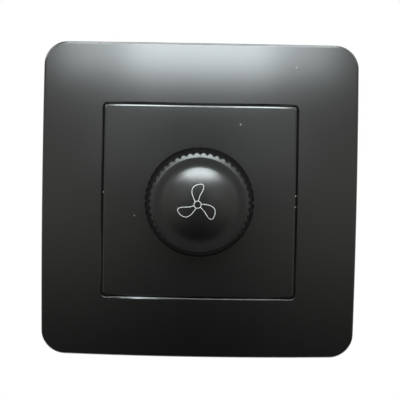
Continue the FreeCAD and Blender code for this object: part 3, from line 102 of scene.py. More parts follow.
def noise(tree, place, scale, detail=2.0):
    """A cloudy pattern of this scale."""
    node = add_node(tree, "ShaderNodeTexNoise", {"Vector": place, "Scale": scale, "Detail": detail})
    return node.outputs["Fac"]


def object_place(tree):
    """Where a point lies on its piece, in metres."""
    return tree.nodes.new("ShaderNodeTexCoord").outputs["Object"]


def new_material(name, colour, roughness, metallic=0.0, ior=1.5):
    """A material whose plain values stand on its own shader."""
    material = bpy.data.materials.new(name)
    material.use_nodes = True
    shader = material.node_tree.nodes["Principled BSDF"]
    shader.inputs["Base Color"].default_value = colour
    shader.inputs["Roughness"].default_value = roughness
    shader.inputs["Metallic"].default_value = metallic
    shader.inputs["IOR"].default_value = ior
    return material, shader


def add_relief(tree, shader, height, depth):
    """Raises a surface by a height pattern, up to this depth in metres."""
    bump = add_node(tree, "ShaderNodeBump", {"Height": height, "Distance": depth, "Strength": 1.0})
    tree.links.new(bump.outputs["Normal"], shader.inputs["Normal"])


def finish(material, *nodes):
    """Gives pieces of the frame their finish."""
    for node in nodes:
        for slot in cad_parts[node].material_slots:
            slot.material = material


def board_lacquer():
    """Lacquered laminate, with tracks and weave under the lacquer."""
    material, shader = new_material("board_lacquer", BOARD_GREEN, BOARD_ROUGHNESS)
    tree = material.node_tree
    place = object_place(tree)
    tracks = add_node(
        tree,
        "ShaderNodeTexVoronoi",
        {"Vector": place, "Scale": 1.0 / TRACK_SPACING, "Randomness": TRACK_DISORDER},
        distance="CHEBYCHEV",
        feature="F2",
    )
    copper = ramp(tree, tracks.outputs["Distance"], *TRACK_EDGE)
    weave = add_node(tree, "ShaderNodeTexChecker", {"Vector": place, "Scale": 1.0 / WEAVE_SPACING})
    tone = blend_colours(tree, copper, BOARD_GREEN, BOARD_TRACK)
    tree.links.new(tone, shader.inputs["Base Color"])
    threads = work_out(tree, "MULTIPLY", weave.outputs["Fac"], WEAVE_SHARE)
    add_relief(tree, shader, work_out(tree, "ADD", copper, threads), BOARD_RELIEF)
    return material


finish(board_lacquer(), "circuit_board")

# Rotary control: a pressed steel case round a phenolic track, a zinc neck for the nut, and a turned shaft.
# The case, washer and nut are zinc-plated steel, the neck is die cast, and the shaft is bright aluminium
# with the rings that turning leaves.
STEEL = (0.58, 0.59, 0.60, 1.0)
STEEL_DULL = (0.40, 0.41, 0.43, 1.0)
ZINC = (0.55, 0.55, 0.53, 1.0)
ZINC_DULL = (0.38, 0.38, 0.37, 1.0)
SHAFT_METAL = (0.72, 0.73, 0.74, 1.0)
SHAFT_DULL = (0.55, 0.56, 0.58, 1.0)
TINNED = (0.68, 0.68, 0.66, 1.0)
TINNED_DULL = (0.50, 0.50, 0.49, 1.0)
PHENOLIC = (0.115, 0.046, 0.017, 1.0)
PHENOLIC_PALE = (0.170, 0.078, 0.030, 1.0)
BLACK_MOULDING = (0.018, 0.018, 0.019, 1.0)
STEEL_ROUGHNESS = 0.33
ZINC_ROUGHNESS = 0.42
SHAFT_ROUGHNESS = 0.26
TINNED_ROUGHNESS = 0.3
PHENOLIC_ROUGHNESS = 0.55
MOULDING_ROUGHNESS = 0.48
TOOL_MARK = 0.0004
MARK_STRETCH = (0.08, 1.0, 0.08)
MARK_RELIEF = 0.000003
PLATING_CLOUDS = 260.0
NECK_THREAD = 0.00075
THREAD_DEPTH = 0.4
MOULD_GRAIN = 0.00024
MOULD_RELIEF = 0.000004
HANDLING_HAZE = 55.0
PAPER_FIBRES = 1900.0
FIBRE_STRETCH = (1.0, 1.0, 0.12)
FIBRE_RELIEF = 0.00001


def new_group(name, inputs, outputs):
    """A shader node group, with its inputs and outputs to link to."""
    group = bpy.data.node_groups.new(name, "ShaderNodeTree")
    for title, value in inputs.items():
        socket = group.interface.new_socket(title, in_out="INPUT", socket_type="NodeSocketFloat")
        socket.default_value = value
    for title in outputs:
        group.interface.new_socket(title, in_out="OUTPUT", socket_type="NodeSocketFloat")
    given = group.nodes.new("NodeGroupInput").outputs
    result = group.nodes.new("NodeGroupOutput").inputs
    return group, given, result


def worked_metal_group():
    """Fine tool marks along a piece, and the cloudy sheen of plating."""
    group, given, result = new_group(
        "worked_metal",
        {"Mark spacing": TOOL_MARK, "Roughness": 0.3, "Unevenness": 0.2},
        ("Roughness", "Height", "Shade"),
    )
    place = object_place(group)
    along = add_node(group, "ShaderNodeMapping", {"Vector": place, "Scale": MARK_STRETCH})
    fine = work_out(group, "DIVIDE", 1.0, given["Mark spacing"])
    marks = noise(group, along.outputs["Vector"], fine)
    cloud = noise(group, place, PLATING_CLOUDS, detail=3.0)
    change = work_out(group, "MULTIPLY", work_out(group, "SUBTRACT", cloud, 0.5), given["Unevenness"])
    group.links.new(work_out(group, "ADD", given["Roughness"], change, clamp=True), result["Roughness"])
    group.links.new(marks, result["Height"])
    group.links.new(cloud, result["Shade"])
    return group


def thread_group():
    """The ridges of a screw thread along Y, on the stretch that carries it."""
    group, given, result = new_group(
        "screw_thread", {"Pitch": NECK_THREAD, "Start": 0.0, "End": 0.001}, ("Height",)
    )
    place = add_node(group, "ShaderNodeSeparateXYZ", {"Vector": object_place(group)}).outputs
    turn = work_out(group, "MULTIPLY", work_out(group, "DIVIDE", place["Y"], given["Pitch"]), 2 * math.pi)
    wave = work_out(group, "MULTIPLY", work_out(group, "SINE", turn), 0.5)
    ridge = work_out(group, "ADD", wave, 0.5)
    after = work_out(group, "GREATER_THAN", place["Y"], given["Start"])
    before = work_out(group, "LESS_THAN", place["Y"], given["End"])
    stretch = work_out(group, "MULTIPLY", after, before)
    group.links.new(work_out(group, "MULTIPLY", ridge, stretch), result["Height"])
    return group


def plain_metal(name, colour, dull_colour, roughness, thread=None):
    """A bare or plated metal in two tones of its own colour, threaded on a stretch if one is given."""
    material, shader = new_material(name, colour, roughness, metallic=1.0)
    tree = material.node_tree
    surface = add_node(tree, "ShaderNodeGroup", node_tree=worked_metal)
    surface.inputs["Roughness"].default_value = roughness
    tone = blend_colours(tree, surface.outputs["Shade"], colour, dull_colour)
    tree.links.new(tone, shader.inputs["Base Color"])
    tree.links.new(surface.outputs["Roughness"], shader.inputs["Roughness"])
    height = surface.outputs["Height"]
    depth = MARK_RELIEF
    if thread:
        pitch, start, end = thread
        depth = pitch * THREAD_DEPTH
        stretch = {"Pitch": pitch, "Start": start, "End": end}
        ridges = add_node(tree, "ShaderNodeGroup", stretch, node_tree=screw_thread)
        marks = work_out(tree, "MULTIPLY", height, MARK_RELIEF / depth)
        height = work_out(tree, "ADD", ridges.outputs["Height"], marks)
    add_relief(tree, shader, height, depth)
    return material


def moulded_surface_group():
    """Fine mould texture, with the uneven sheen that handling leaves."""
    group, given, result = new_group(
        "moulded_surface",
        {"Grain": MOULD_GRAIN, "Roughness": 0.5, "Unevenness": 0.1},
        ("Roughness", "Height", "Shade"),
    )
    place = object_place(group)
    grain = noise(group, place, work_out(group, "DIVIDE", 1.0, given["Grain"]), detail=1.5)
    haze = noise(group, place, HANDLING_HAZE, detail=4.0)
    change = work_out(group, "MULTIPLY", work_out(group, "SUBTRACT", haze, 0.5), given["Unevenness"])
    group.links.new(work_out(group, "ADD", given["Roughness"], change, clamp=True), result["Roughness"])
    group.links.new(grain, result["Height"])
    group.links.new(haze, result["Shade"])
    return group


def moulded_plastic(name, colour, roughness, spread=0.12, unevenness=0.1, relief=MOULD_RELIEF, ior=1.5):
    """A moulded plastic with its mould's texture, its colour lighter and darker by a small spread."""
    material, shader = new_material(name, colour, roughness, ior=ior)
    tree = material.node_tree
    surface = add_node(tree, "ShaderNodeGroup", node_tree=moulded_surface)
    surface.inputs["Roughness"].default_value = roughness
    surface.inputs["Unevenness"].default_value = unevenness
    darker, lighter = ([c * factor for c in colour[:3]] + [1.0] for factor in (1 - spread, 1 + spread))
    tone = blend_colours(tree, surface.outputs["Shade"], darker, lighter)
    tree.links.new(tone, shader.inputs["Base Color"])
    tree.links.new(surface.outputs["Roughness"], shader.inputs["Roughness"])
    add_relief(tree, shader, surface.outputs["Height"], relief)
    return material


def pressed_paper():
    """Brown phenolic sheet, with the long fibres of its paper."""
    material, shader = new_material("pressed_paper", PHENOLIC, PHENOLIC_ROUGHNESS)
    tree = material.node_tree
    along = add_node(tree, "ShaderNodeMapping", {"Vector": object_place(tree), "Scale": FIBRE_STRETCH})
    fibres = noise(tree, along.outputs["Vector"], PAPER_FIBRES, detail=4.0)
    tree.links.new(blend_colours(tree, fibres, PHENOLIC, PHENOLIC_PALE), shader.inputs["Base Color"])
    add_relief(tree, shader, fibres, FIBRE_RELIEF)
    return material


worked_metal = worked_metal_group()
screw_thread = thread_group()
moulded_surface = moulded_surface_group()
neck_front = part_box("pot_bushing")[0][1]
nut_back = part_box("pot_nut")[1][1]
plated_steel = plain_metal("plated_steel", STEEL, STEEL_DULL, STEEL_ROUGHNESS)
tinned_metal = plain_metal("tinned_metal", TINNED, TINNED_DULL, TINNED_ROUGHNESS)
black_moulding = moulded_plastic("black_moulding", BLACK_MOULDING, MOULDING_ROUGHNESS)
neck_zinc = plain_metal(
    "neck_zinc", ZINC, ZINC_DULL, ZINC_ROUGHNESS, thread=(NECK_THREAD, neck_front, nut_back)
)
finish(plated_steel, "pot_case", "pot_washer", "pot_nut")
finish(neck_zinc, "pot_bushing")
finish(plain_metal("turned_shaft", SHAFT_METAL, SHAFT_DULL, SHAFT_ROUGHNESS), "pot_shaft")
finish(pressed_paper(), "pot_track")
finish(black_moulding, "pot_wiper", "pot_switch")
finish(tinned_metal, "pot_pins", "switch_pins")

# Power stage: a power package clamped into a bent aluminium channel that carries its heat away.
# The package is black epoxy moulded on a tinned copper tab, and a screw and nut hold it through the board.
ALUMINIUM = (0.70, 0.71, 0.72, 1.0)
ALUMINIUM_DULL = (0.56, 0.57, 0.59, 1.0)
ALUMINIUM_ROUGHNESS = 0.36
EPOXY_BLACK = (0.012, 0.012, 0.013, 1.0)
EPOXY_ROUGHNESS = 0.4
TAB_THICKNESS = 0.0013
TAB_SHARE = 0.98
CHANNEL_WALL = 0.0015
PACKAGE_LENGTH = 0.009
LEAD_REACH = 0.0026
PACKAGE_FIT = 0.00002
CLAMP_THREAD = 0.0005
CLAMP_HEAD = 0.002


def package_finish():
    """Black epoxy on the moulded part of the package, tinned metal on its tab and leads."""
    material, shader = new_material("power_package", EPOXY_BLACK, EPOXY_ROUGHNESS)
    tree = material.node_tree
    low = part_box("triac")[0]
    place = add_node(tree, "ShaderNodeSeparateXYZ", {"Vector": object_place(tree)}).outputs
    package_low = low[2] + LEAD_REACH
    above_leads = work_out(tree, "GREATER_THAN", place["Z"], package_low)
    below_tab = work_out(tree, "LESS_THAN", place["Z"], package_low + PACKAGE_LENGTH + PACKAGE_FIT)
    off_tab = work_out(tree, "GREATER_THAN", place["Y"], low[1] + CHANNEL_WALL + TAB_THICKNESS * TAB_SHARE)
    epoxy = work_out(tree, "MULTIPLY", work_out(tree, "MULTIPLY", above_leads, below_tab), off_tab)
    surface = add_node(tree, "ShaderNodeGroup", {"Roughness": EPOXY_ROUGHNESS}, node_tree=moulded_surface)
    tree.links.new(blend_colours(tree, epoxy, TINNED, EPOXY_BLACK), shader.inputs["Base Color"])
    tree.links.new(work_out(tree, "SUBTRACT", 1.0, epoxy), shader.inputs["Metallic"])
    tree.links.new(surface.outputs["Roughness"], shader.inputs["Roughness"])
    add_relief(tree, shader, surface.outputs["Height"], MOULD_RELIEF)
    return material


clamp_low, clamp_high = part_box("triac_screw")
clamp_thread = (CLAMP_THREAD, clamp_low[1], clamp_high[1] - CLAMP_HEAD)
clamp_steel = plain_metal("clamp_steel", STEEL, STEEL_DULL, STEEL_ROUGHNESS, thread=clamp_thread)
channel_aluminium = plain_metal("channel_aluminium", ALUMINIUM, ALUMINIUM_DULL, ALUMINIUM_ROUGHNESS)
finish(channel_aluminium, "heat_sink")
finish(package_finish(), "triac")
finish(clamp_steel, "triac_screw")
finish(plated_steel, "triac_nut")

# Capacitors: a large film capacitor across the mains and a small one that sets the timing.
# Both are wound film dipped in epoxy, which dries glossy and a little uneven.
FILM_YELLOW = (0.52, 0.27, 0.012, 1.0)
TIMING_BROWN = (0.135, 0.022, 0.009, 1.0)
DIP_ROUGHNESS = (0.12, 0.26)
DIP_WAVES = 420.0
DIP_GRAIN = 1500.0
DIP_PALER = 1.18
DIP_RELIEF = 0.00009
CLOUD_RANGE = (0.3, 0.8)


def dipped_epoxy(name, colour):
    """Glossy dipped epoxy that lies in soft waves over what it covers."""
    material, shader = new_material(name, colour, DIP_ROUGHNESS[0])
    tree = material.node_tree
    place = object_place(tree)
    waves = noise(tree, place, DIP_WAVES)
    pale = [c * DIP_PALER for c in colour[:3]] + [1.0]
    tree.links.new(blend_colours(tree, waves, colour, pale), shader.inputs["Base Color"])
    sheen = ramp(tree, noise(tree, place, DIP_GRAIN), *CLOUD_RANGE, *DIP_ROUGHNESS)
    tree.links.new(sheen, shader.inputs["Roughness"])
    add_relief(tree, shader, waves, DIP_RELIEF)
    return material


finish(dipped_epoxy("film_epoxy", FILM_YELLOW), "film_capacitor")
finish(dipped_epoxy("timing_epoxy", TIMING_BROWN), "timing_capacitor")

# Choke: a painted iron powder ring wound with enamelled copper wire, to keep noise off the mains.
# Its turns lie side by side round most of the ring, and leave a gap where the two ends come away.
CORE_YELLOW = (0.44, 0.36, 0.045, 1.0)
CORE_SHADE = (0.30, 0.24, 0.030, 1.0)
COPPER = (0.62, 0.21, 0.075, 1.0)
COPPER_DARK = (0.42, 0.115, 0.035, 1.0)
PAINT_ROUGHNESS = 0.52
POWDER_GRAINS = 3400.0
POWDER_PITS = (0.36, 0.62)
PIT_DEPTH = 0.00003
ENAMEL_COAT = 0.6
ENAMEL_COAT_ROUGHNESS = 0.08
ENAMEL_ROUGHNESS = (0.16, 0.3)
ENAMEL_CLOUDS = 900.0
WIRE_THICKNESS = 0.0008
WIRE_SIDES = 10
BEND_STEPS = 4
WIRE_FIT = 0.00015
CORE_HOLE = 0.0066
TURN_COUNT = 13
WOUND_ANGLE = math.radians(292)


def painted_powder():
    """Yellow paint over pressed powder, pitted where grains show."""
    material, shader = new_material("painted_powder", CORE_YELLOW, PAINT_ROUGHNESS)
    tree = material.node_tree
    grains = noise(tree, object_place(tree), POWDER_GRAINS, detail=3.0)
    pits = ramp(tree, grains, *POWDER_PITS)
    tree.links.new(blend_colours(tree, pits, CORE_SHADE, CORE_YELLOW), shader.inputs["Base Color"])
    add_relief(tree, shader, pits, PIT_DEPTH)
    return material


def enamelled_copper():
    """Copper under amber enamel, deeper where the enamel is thick."""
    material, shader = new_material("enamelled_copper", COPPER, ENAMEL_ROUGHNESS[0], metallic=1.0)
    tree = material.node_tree
    shader.inputs["Coat Weight"].default_value = ENAMEL_COAT
    shader.inputs["Coat Roughness"].default_value = ENAMEL_COAT_ROUGHNESS
    enamel = noise(tree, object_place(tree), ENAMEL_CLOUDS, detail=3.0)
    tree.links.new(blend_colours(tree, enamel, COPPER, COPPER_DARK), shader.inputs["Base Color"])
    tree.links.new(ramp(tree, enamel, *CLOUD_RANGE, *ENAMEL_ROUGHNESS), shader.inputs["Roughness"])
    return material


def new_geometry_tree(name, inputs):
    """A geometry node tree with named inputs, and what its inputs and output link to."""
    tree = bpy.data.node_groups.new(name, "GeometryNodeTree")
    tree.interface.new_socket("Geometry", in_out="INPUT", socket_type="NodeSocketGeometry")
    tree.interface.new_socket("Geometry", in_out="OUTPUT", socket_type="NodeSocketGeometry")
    for title, kind in inputs.items():
        tree.interface.new_socket(title, in_out="INPUT", socket_type=kind)
    given = tree.nodes.new("NodeGroupInput").outputs
    result = tree.nodes.new("NodeGroupOutput").inputs
    return tree, given, result


def triple(tree, across=0.0, up=0.0, out=0.0):
    """Three numbers put together."""
    return add_node(tree, "ShaderNodeCombineXYZ", {"X": across, "Y": up, "Z": out}).outputs["Vector"]


def round_line(tree, radius, sides):
    """A circle of this radius, as a line of so many sides."""
    circle = add_node(tree, "GeometryNodeCurvePrimitiveCircle", {"Radius": radius, "Resolution": sides})
    return circle.outputs["Curve"]


def set_round(tree, shape, count, step):
    """Copies of a shape about Z, each turned on from the last by a step."""
    places = add_node(tree, "GeometryNodeMeshLine", {"Count": count, "Offset": (0.0, 0.0, 0.0)})
    index = tree.nodes.new("GeometryNodeInputIndex").outputs["Index"]
    turn = triple(tree, 0.0, 0.0, work_out(tree, "MULTIPLY", index, step))
    copies = add_node(
        tree,
        "GeometryNodeInstanceOnPoints",
        {"Points": places.outputs["Mesh"], "Instance": shape, "Rotation": turn},
    )
    return copies.outputs["Instances"]


def end_tree(tree, geometry, material, result):
    """Every tree ends as one plain mesh in its material."""
    real = add_node(tree, "GeometryNodeRealizeInstances", {"Geometry": geometry})
    dressed = add_node(
        tree, "GeometryNodeSetMaterial", {"Geometry": real.outputs["Geometry"], "Material": material}
    )
    tree.links.new(dressed.outputs["Geometry"], result["Geometry"])


def shaped_by(name, start, tree, values, place=None):
    """The plain mesh that a geometry tree makes from a start, moved to its place."""
    maker = bpy.data.objects.new(f"{name}_start", start)
    bpy.context.scene.collection.objects.link(maker)
    modifier = maker.modifiers.new("shape", "NODES")
    modifier.node_group = tree
    for item in tree.interface.items_tree:
        if item.in_out == "INPUT" and item.name in values:
            modifier[item.identifier] = values[item.name]
    ready = maker.evaluated_get(bpy.context.evaluated_depsgraph_get())
    mesh = bpy.data.meshes.new_from_object(ready)
    maker.modifiers.remove(modifier)
    bpy.data.objects.remove(maker)
    mesh.name = name
    if place is not None:
        mesh.transform(place)
    piece = bpy.data.objects.new(name, mesh)
    bpy.context.scene.collection.objects.link(piece)
    return piece


def wire_turn_tree(material):
    """Rounded square hoops of wire set round a ring."""
    tree, given, result = new_geometry_tree(
        "wire_turns",
        {
            "Turns": "NodeSocketInt",
            "Ring radius": "NodeSocketFloat",
            "Hoop width": "NodeSocketFloat",
            "Hoop height": "NodeSocketFloat",
            "Wire radius": "NodeSocketFloat",
            "Wound angle": "NodeSocketFloat",
        },
    )
    hoop = add_node(
        tree,
        "GeometryNodeCurvePrimitiveQuadrilateral",
        {"Width": given["Hoop width"], "Height": given["Hoop height"]},
    )
    bend = add_node(
        tree,
        "GeometryNodeFilletCurve",
        {"Curve": hoop.outputs["Curve"], "Radius": given["Wire radius"], "Count": BEND_STEPS},
        mode="POLY",
    )
    stood = add_node(
        tree,
        "GeometryNodeTransform",
        {
            "Geometry": bend.outputs["Curve"],
            "Translation": triple(tree, given["Ring radius"]),
            "Rotation": triple(tree, math.pi / 2),
        },
    )
    wire = add_node(
        tree,
        "GeometryNodeCurveToMesh",
        {
            "Curve": stood.outputs["Geometry"],
            "Profile Curve": round_line(tree, given["Wire radius"], WIRE_SIDES),
        },
    )
    step = work_out(tree, "DIVIDE", given["Wound angle"], work_out(tree, "SUBTRACT", given["Turns"], 1))
    hoops = set_round(tree, wire.outputs["Mesh"], given["Turns"], step)
    smooth = add_node(tree, "GeometryNodeSetShadeSmooth", {"Geometry": hoops})
    end_tree(tree, smooth.outputs["Geometry"], material, result)
    return tree


core_low, core_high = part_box("choke_core")
core_middle = (Vector(core_low) + Vector(core_high)) / 2
core_outside = (core_high[0] - core_low[0]) / 2
wire_lift = WIRE_THICKNESS / 2 + WIRE_FIT
choke_wire = shaped_by(
    "choke_wire",
    bpy.data.meshes.new("ring"),
    wire_turn_tree(enamelled_copper()),
    {
        "Turns": TURN_COUNT,
        "Ring radius": (core_outside + CORE_HOLE / 2) / 2,
        "Hoop width": core_outside - CORE_HOLE / 2 + 2 * wire_lift,
        "Hoop height": core_high[1] - core_low[1] + 2 * wire_lift,
        "Wire radius": WIRE_THICKNESS / 2,
        "Wound angle": WOUND_ANGLE,
    },
    Matrix.Translation(core_middle) @ Matrix.Rotation(math.pi / 2, 4, "X"),
)
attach(choke_wire, "base")
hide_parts("choke_winding")
finish(painted_powder(), "choke_core")

# Resistors and trigger diode: small round parts that lie over the board on their own leads.
# The resistors are lacquered ceramic with painted rings for their value, and the diode is blue glass
# with one dark ring; the leads are tinned copper.
RESISTOR_BLUE = (0.115, 0.290, 0.400, 1.0)
RESISTOR_ROUGHNESS = 0.34
RING_COLOURS = (
    (0.10, 0.035, 0.012, 1.0),
    (0.010, 0.010, 0.010, 1.0),
    (0.60, 0.15, 0.010, 1.0),
    (0.45, 0.30, 0.08, 1.0),
)
RING_PLACES = (-0.30, -0.10, 0.10, 0.32)
RING_HALF = 0.055
DIODE_BLUE = (0.018, 0.050, 0.200, 1.0)
DIODE_ROUGHNESS = 0.14
DIODE_RING_PLACE = 0.3
BARREL_CLOUDS = 1400.0
BARREL_PALER = 1.25
BARREL_SMOOTHER = 0.06
BARREL_ROUGHER = 0.08
WIDE_CLOUD_RANGE = (0.2, 0.8)
BARREL_END = 0.501
BARREL_OVERHANG = 0.0011


def ringed_barrel(name, node, colour, roughness, rings):
    """A lacquered barrel with painted rings along X, and bare leads past its ends."""
    material, shader = new_material(name, colour, roughness)
    tree = material.node_tree
    low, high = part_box(node)
    length = high[0] - low[0] - 2 * BARREL_OVERHANG
    place = object_place(tree)
    along = add_node(tree, "ShaderNodeSeparateXYZ", {"Vector": place}).outputs["X"]
    share = work_out(tree, "DIVIDE", work_out(tree, "SUBTRACT", along, (low[0] + high[0]) / 2), length)
    cloud = noise(tree, place, BARREL_CLOUDS)
    pale = [c * BARREL_PALER for c in colour[:3]] + [1.0]
    tone = blend_colours(tree, cloud, colour, pale)
    for middle, ring in rings:
        off = work_out(tree, "ABSOLUTE", work_out(tree, "SUBTRACT", share, middle))
        tone = blend_colours(tree, work_out(tree, "LESS_THAN", off, RING_HALF), tone, ring)
    bare = work_out(tree, "GREATER_THAN", work_out(tree, "ABSOLUTE", share), BARREL_END)
    tree.links.new(blend_colours(tree, bare, tone, TINNED), shader.inputs["Base Color"])
    tree.links.new(bare, shader.inputs["Metallic"])
    sheen = ramp(tree, cloud, *WIDE_CLOUD_RANGE, roughness - BARREL_SMOOTHER, roughness + BARREL_ROUGHER)
    tree.links.new(sheen, shader.inputs["Roughness"])
    return material


resistor_rings = list(zip(RING_PLACES, RING_COLOURS))
diode_rings = [(DIODE_RING_PLACE, BLACK_MOULDING)]
resistor_lacquer = ringed_barrel(
    "resistor_lacquer", "resistors", RESISTOR_BLUE, RESISTOR_ROUGHNESS, resistor_rings
)
finish(resistor_lacquer, "resistors")
finish(ringed_barrel("diode_glass", "diac", DIODE_BLUE, DIODE_ROUGHNESS, diode_rings), "diac")

# Wire terminals: two brass cages in a moulded block at the lower edge of the board, each with its screw.
# The block is green glass-filled nylon, and the screws' slots face the two holes in the housing's back.
HOLDER_GREEN = (0.020, 0.120, 0.062, 1.0)
BRASS = (0.72, 0.50, 0.20, 1.0)
BRASS_DULL = (0.52, 0.34, 0.12, 1.0)
HOLDER_ROUGHNESS = 0.5
BRASS_ROUGHNESS = 0.3
TERMINAL_ROUGHNESS = 0.3
TERMINAL_THREAD = 0.0005
TERMINAL_HEAD = 0.0023

terminal_low, terminal_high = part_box("terminal_screws")
terminal_thread = (TERMINAL_THREAD, terminal_low[1], terminal_high[1] - TERMINAL_HEAD)
terminal_steel = plain_metal(
    "terminal_steel", STEEL, STEEL_DULL, TERMINAL_ROUGHNESS, thread=terminal_thread
)
finish(moulded_plastic("holder_nylon", HOLDER_GREEN, HOLDER_ROUGHNESS), "terminal_holder")
finish(plain_metal("cage_brass", BRASS, BRASS_DULL, BRASS_ROUGHNESS), "terminal_cages")
finish(terminal_steel, "terminal_screws")

# Mounting bracket and rear housing: the plate that is screwed to the wall box, and the box behind it.
# Both are injection moulded in light grey nylon with a fine spark-eroded texture from the mould.
HOUSING_GREY = (0.43, 0.44, 0.42, 1.0)
HOUSING_ROUGHNESS = 0.5
HOUSING_SPREAD = 0.06
HOUSING_RELIEF = 0.000006

housing_nylon = moulded_plastic(
    "housing_nylon", HOUSING_GREY, HOUSING_ROUGHNESS, spread=HOUSING_SPREAD, relief=HOUSING_RELIEF
)
finish(housing_nylon, "mounting_bracket", "rear_housing")

# Housing screws: four pan-head screws that hold the housing to the bracket's pillars.
# They are zinc-plated steel, cut with a coarse thread for plastic.
HOUSING_THREAD = 0.0012
HOUSING_HEAD = 0.0019
SCREW_ROUGHNESS = 0.32

screw_low, screw_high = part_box("housing_screws")
housing_thread = (HOUSING_THREAD, screw_low[1], screw_high[1] - HOUSING_HEAD)
housing_steel = plain_metal("housing_steel", STEEL, STEEL_DULL, SCREW_ROUGHNESS, thread=housing_thread)
finish(housing_steel, "housing_screws")

# Centre panel and outer frame: the pillow-shaped front of the switch, snapped to the bracket.
# Both are moulded in black polycarbonate and sprayed with a thin satin lacquer that spreads reflections,
# and a little dust has settled on them; the frame's rim has a small round, which is cut finely here.
SATIN_BLACK = (0.0026, 0.0026, 0.0025, 1.0)
SATIN_ROUGHNESS = 0.205
SATIN_SPREAD = 0.1
SATIN_UNEVENNESS = 0.04
SATIN_RELIEF = 0.0000012
POLYCARBONATE_IOR = 1.585
DUST_COLOUR = (0.30, 0.29, 0.27, 1.0)
DUST_SPACING = 0.0016
DUST_PATCHES = 60.0
DUST_PATCH_EDGE = (0.5, 0.7)
PLATE_DUST = 0.04
WELL_RADIUS = 0.01455
JOIN_REACH = 0.000001
CRISP_TURN = math.radians(20)
MM = 0.001
# The form of the front, in millimetres.
PLATE_CROWN = 10.2
PLATE_RADIUS = 223.19
FRAME_HALF = 43.0
FRAME_CORNER = 6.5
RIM_ROUND = 0.9
RIM_ZONE = 1.5
RIM_NEAR = 0.1
RIM_FRONT_LEAN = 0.1
RIM_BACK_LEAN = -0.03
RIM_STEP = 0.4
RIM_PASSES = 7
ON_SURFACE = 0.012


def settled_dust_group():
    """Scattered specks of dust, as a mask over a surface."""
    group, given, result = new_group(
        "settled_dust", {"Spacing": DUST_SPACING, "Speck": 0.06, "Amount": 0.3}, ("Dust",)
    )
    place = object_place(group)
    fine = work_out(group, "DIVIDE", 1.0, given["Spacing"])
    specks = add_node(group, "ShaderNodeTexVoronoi", {"Vector": place, "Scale": fine}, feature="F1")
    near = work_out(group, "LESS_THAN", specks.outputs["Distance"], given["Speck"])
    patch = ramp(group, noise(group, place, DUST_PATCHES, detail=3.0), *DUST_PATCH_EDGE)
    lying = work_out(group, "MULTIPLY", near, patch)
    group.links.new(work_out(group, "MULTIPLY", lying, given["Amount"]), result["Dust"])
    return group


def satin_plastic(name, colour, roughness, dust):
    """Black polycarbonate under satin lacquer, with a trace of dust."""
    material = moulded_plastic(
        name,
        colour,
        roughness,
        spread=SATIN_SPREAD,
        unevenness=SATIN_UNEVENNESS,
        relief=SATIN_RELIEF,
        ior=POLYCARBONATE_IOR,
    )
    tree = material.node_tree
    shader = tree.nodes["Principled BSDF"]
    shader.inputs["Coat Weight"].default_value = 1.0
    shader.inputs["Coat Roughness"].default_value = roughness
    clean = shader.inputs["Base Color"].links[0].from_socket
    specks = add_node(tree, "ShaderNodeGroup", {"Amount": dust}, node_tree=settled_dust)
    dusty = blend_colours(tree, specks.outputs["Dust"], clean, DUST_COLOUR)
    tree.links.new(dusty, shader.inputs["Base Color"])
    return material


def leave_well_bare(material):
    """Keeps the lacquer off the round well under the knob."""
    tree = material.node_tree
    place = add_node(tree, "ShaderNodeSeparateXYZ", {"Vector": object_place(tree)}).outputs
    squares = [work_out(tree, "POWER", place[axis], 2.0) for axis in ("X", "Z")]
    reach = work_out(tree, "SQRT", work_out(tree, "ADD", *squares))
    lacquered = work_out(tree, "GREATER_THAN", reach, WELL_RADIUS)
    tree.links.new(lacquered, tree.nodes["Principled BSDF"].inputs["Coat Weight"])
    return material


def on_plate(place):
    """A place on the switch as millimetres across, up and out from the wall."""
    return Vector((place.x, place.z, -place.y)) / MM


def off_plate(way):
    """The way back: across, up and out put in the switch's own axes."""
    return Vector((way.x, -way.z, way.y))


def rim_middle(spot):
    """The middle of the rim's round beside a spot, and the way outwards from the plate there."""
    straight = FRAME_HALF - FRAME_CORNER
    core = Vector([max(-straight, min(straight, value)) for value in spot.xy])
    outward = (spot.xy - core).normalized()
    near = core + outward * (FRAME_CORNER - RIM_ROUND)
    rise = math.sqrt((PLATE_RADIUS - RIM_ROUND) ** 2 - near.length_squared)
    middle = Vector((*near, PLATE_CROWN - PLATE_RADIUS + rise))
    slope = (near.x * outward.y - near.y * outward.x) / rise
    along = Vector((-outward.y, outward.x, slope)).normalized()
    return middle + along * (spot - middle).dot(along), outward


def near_rim(spot):
    """Whether a spot lies within the narrow zone along the frame's edge."""
    return max(abs(spot.x), abs(spot.y)) >= FRAME_HALF - RIM_ZONE


def on_rim(spot):
    """Whether a spot lies on the rim's round, between the pillow and the side."""
    if not near_rim(spot):
        return False
    middle, outward = rim_middle(spot)
    way = spot - middle
    lean = way.normalized()
    close = abs(way.length - RIM_ROUND) < RIM_NEAR
    return close and lean.z > RIM_BACK_LEAN and lean.xy.dot(outward) > RIM_FRONT_LEAN


def joined_shell(node):
    """A node's own triangles, joined into one shell."""
    shell = bmesh.new()
    shell.from_mesh(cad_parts[node].data)
    bmesh.ops.remove_doubles(shell, verts=shell.verts, dist=JOIN_REACH)
    bmesh.ops.dissolve_degenerate(shell, edges=shell.edges, dist=JOIN_REACH)
    return shell


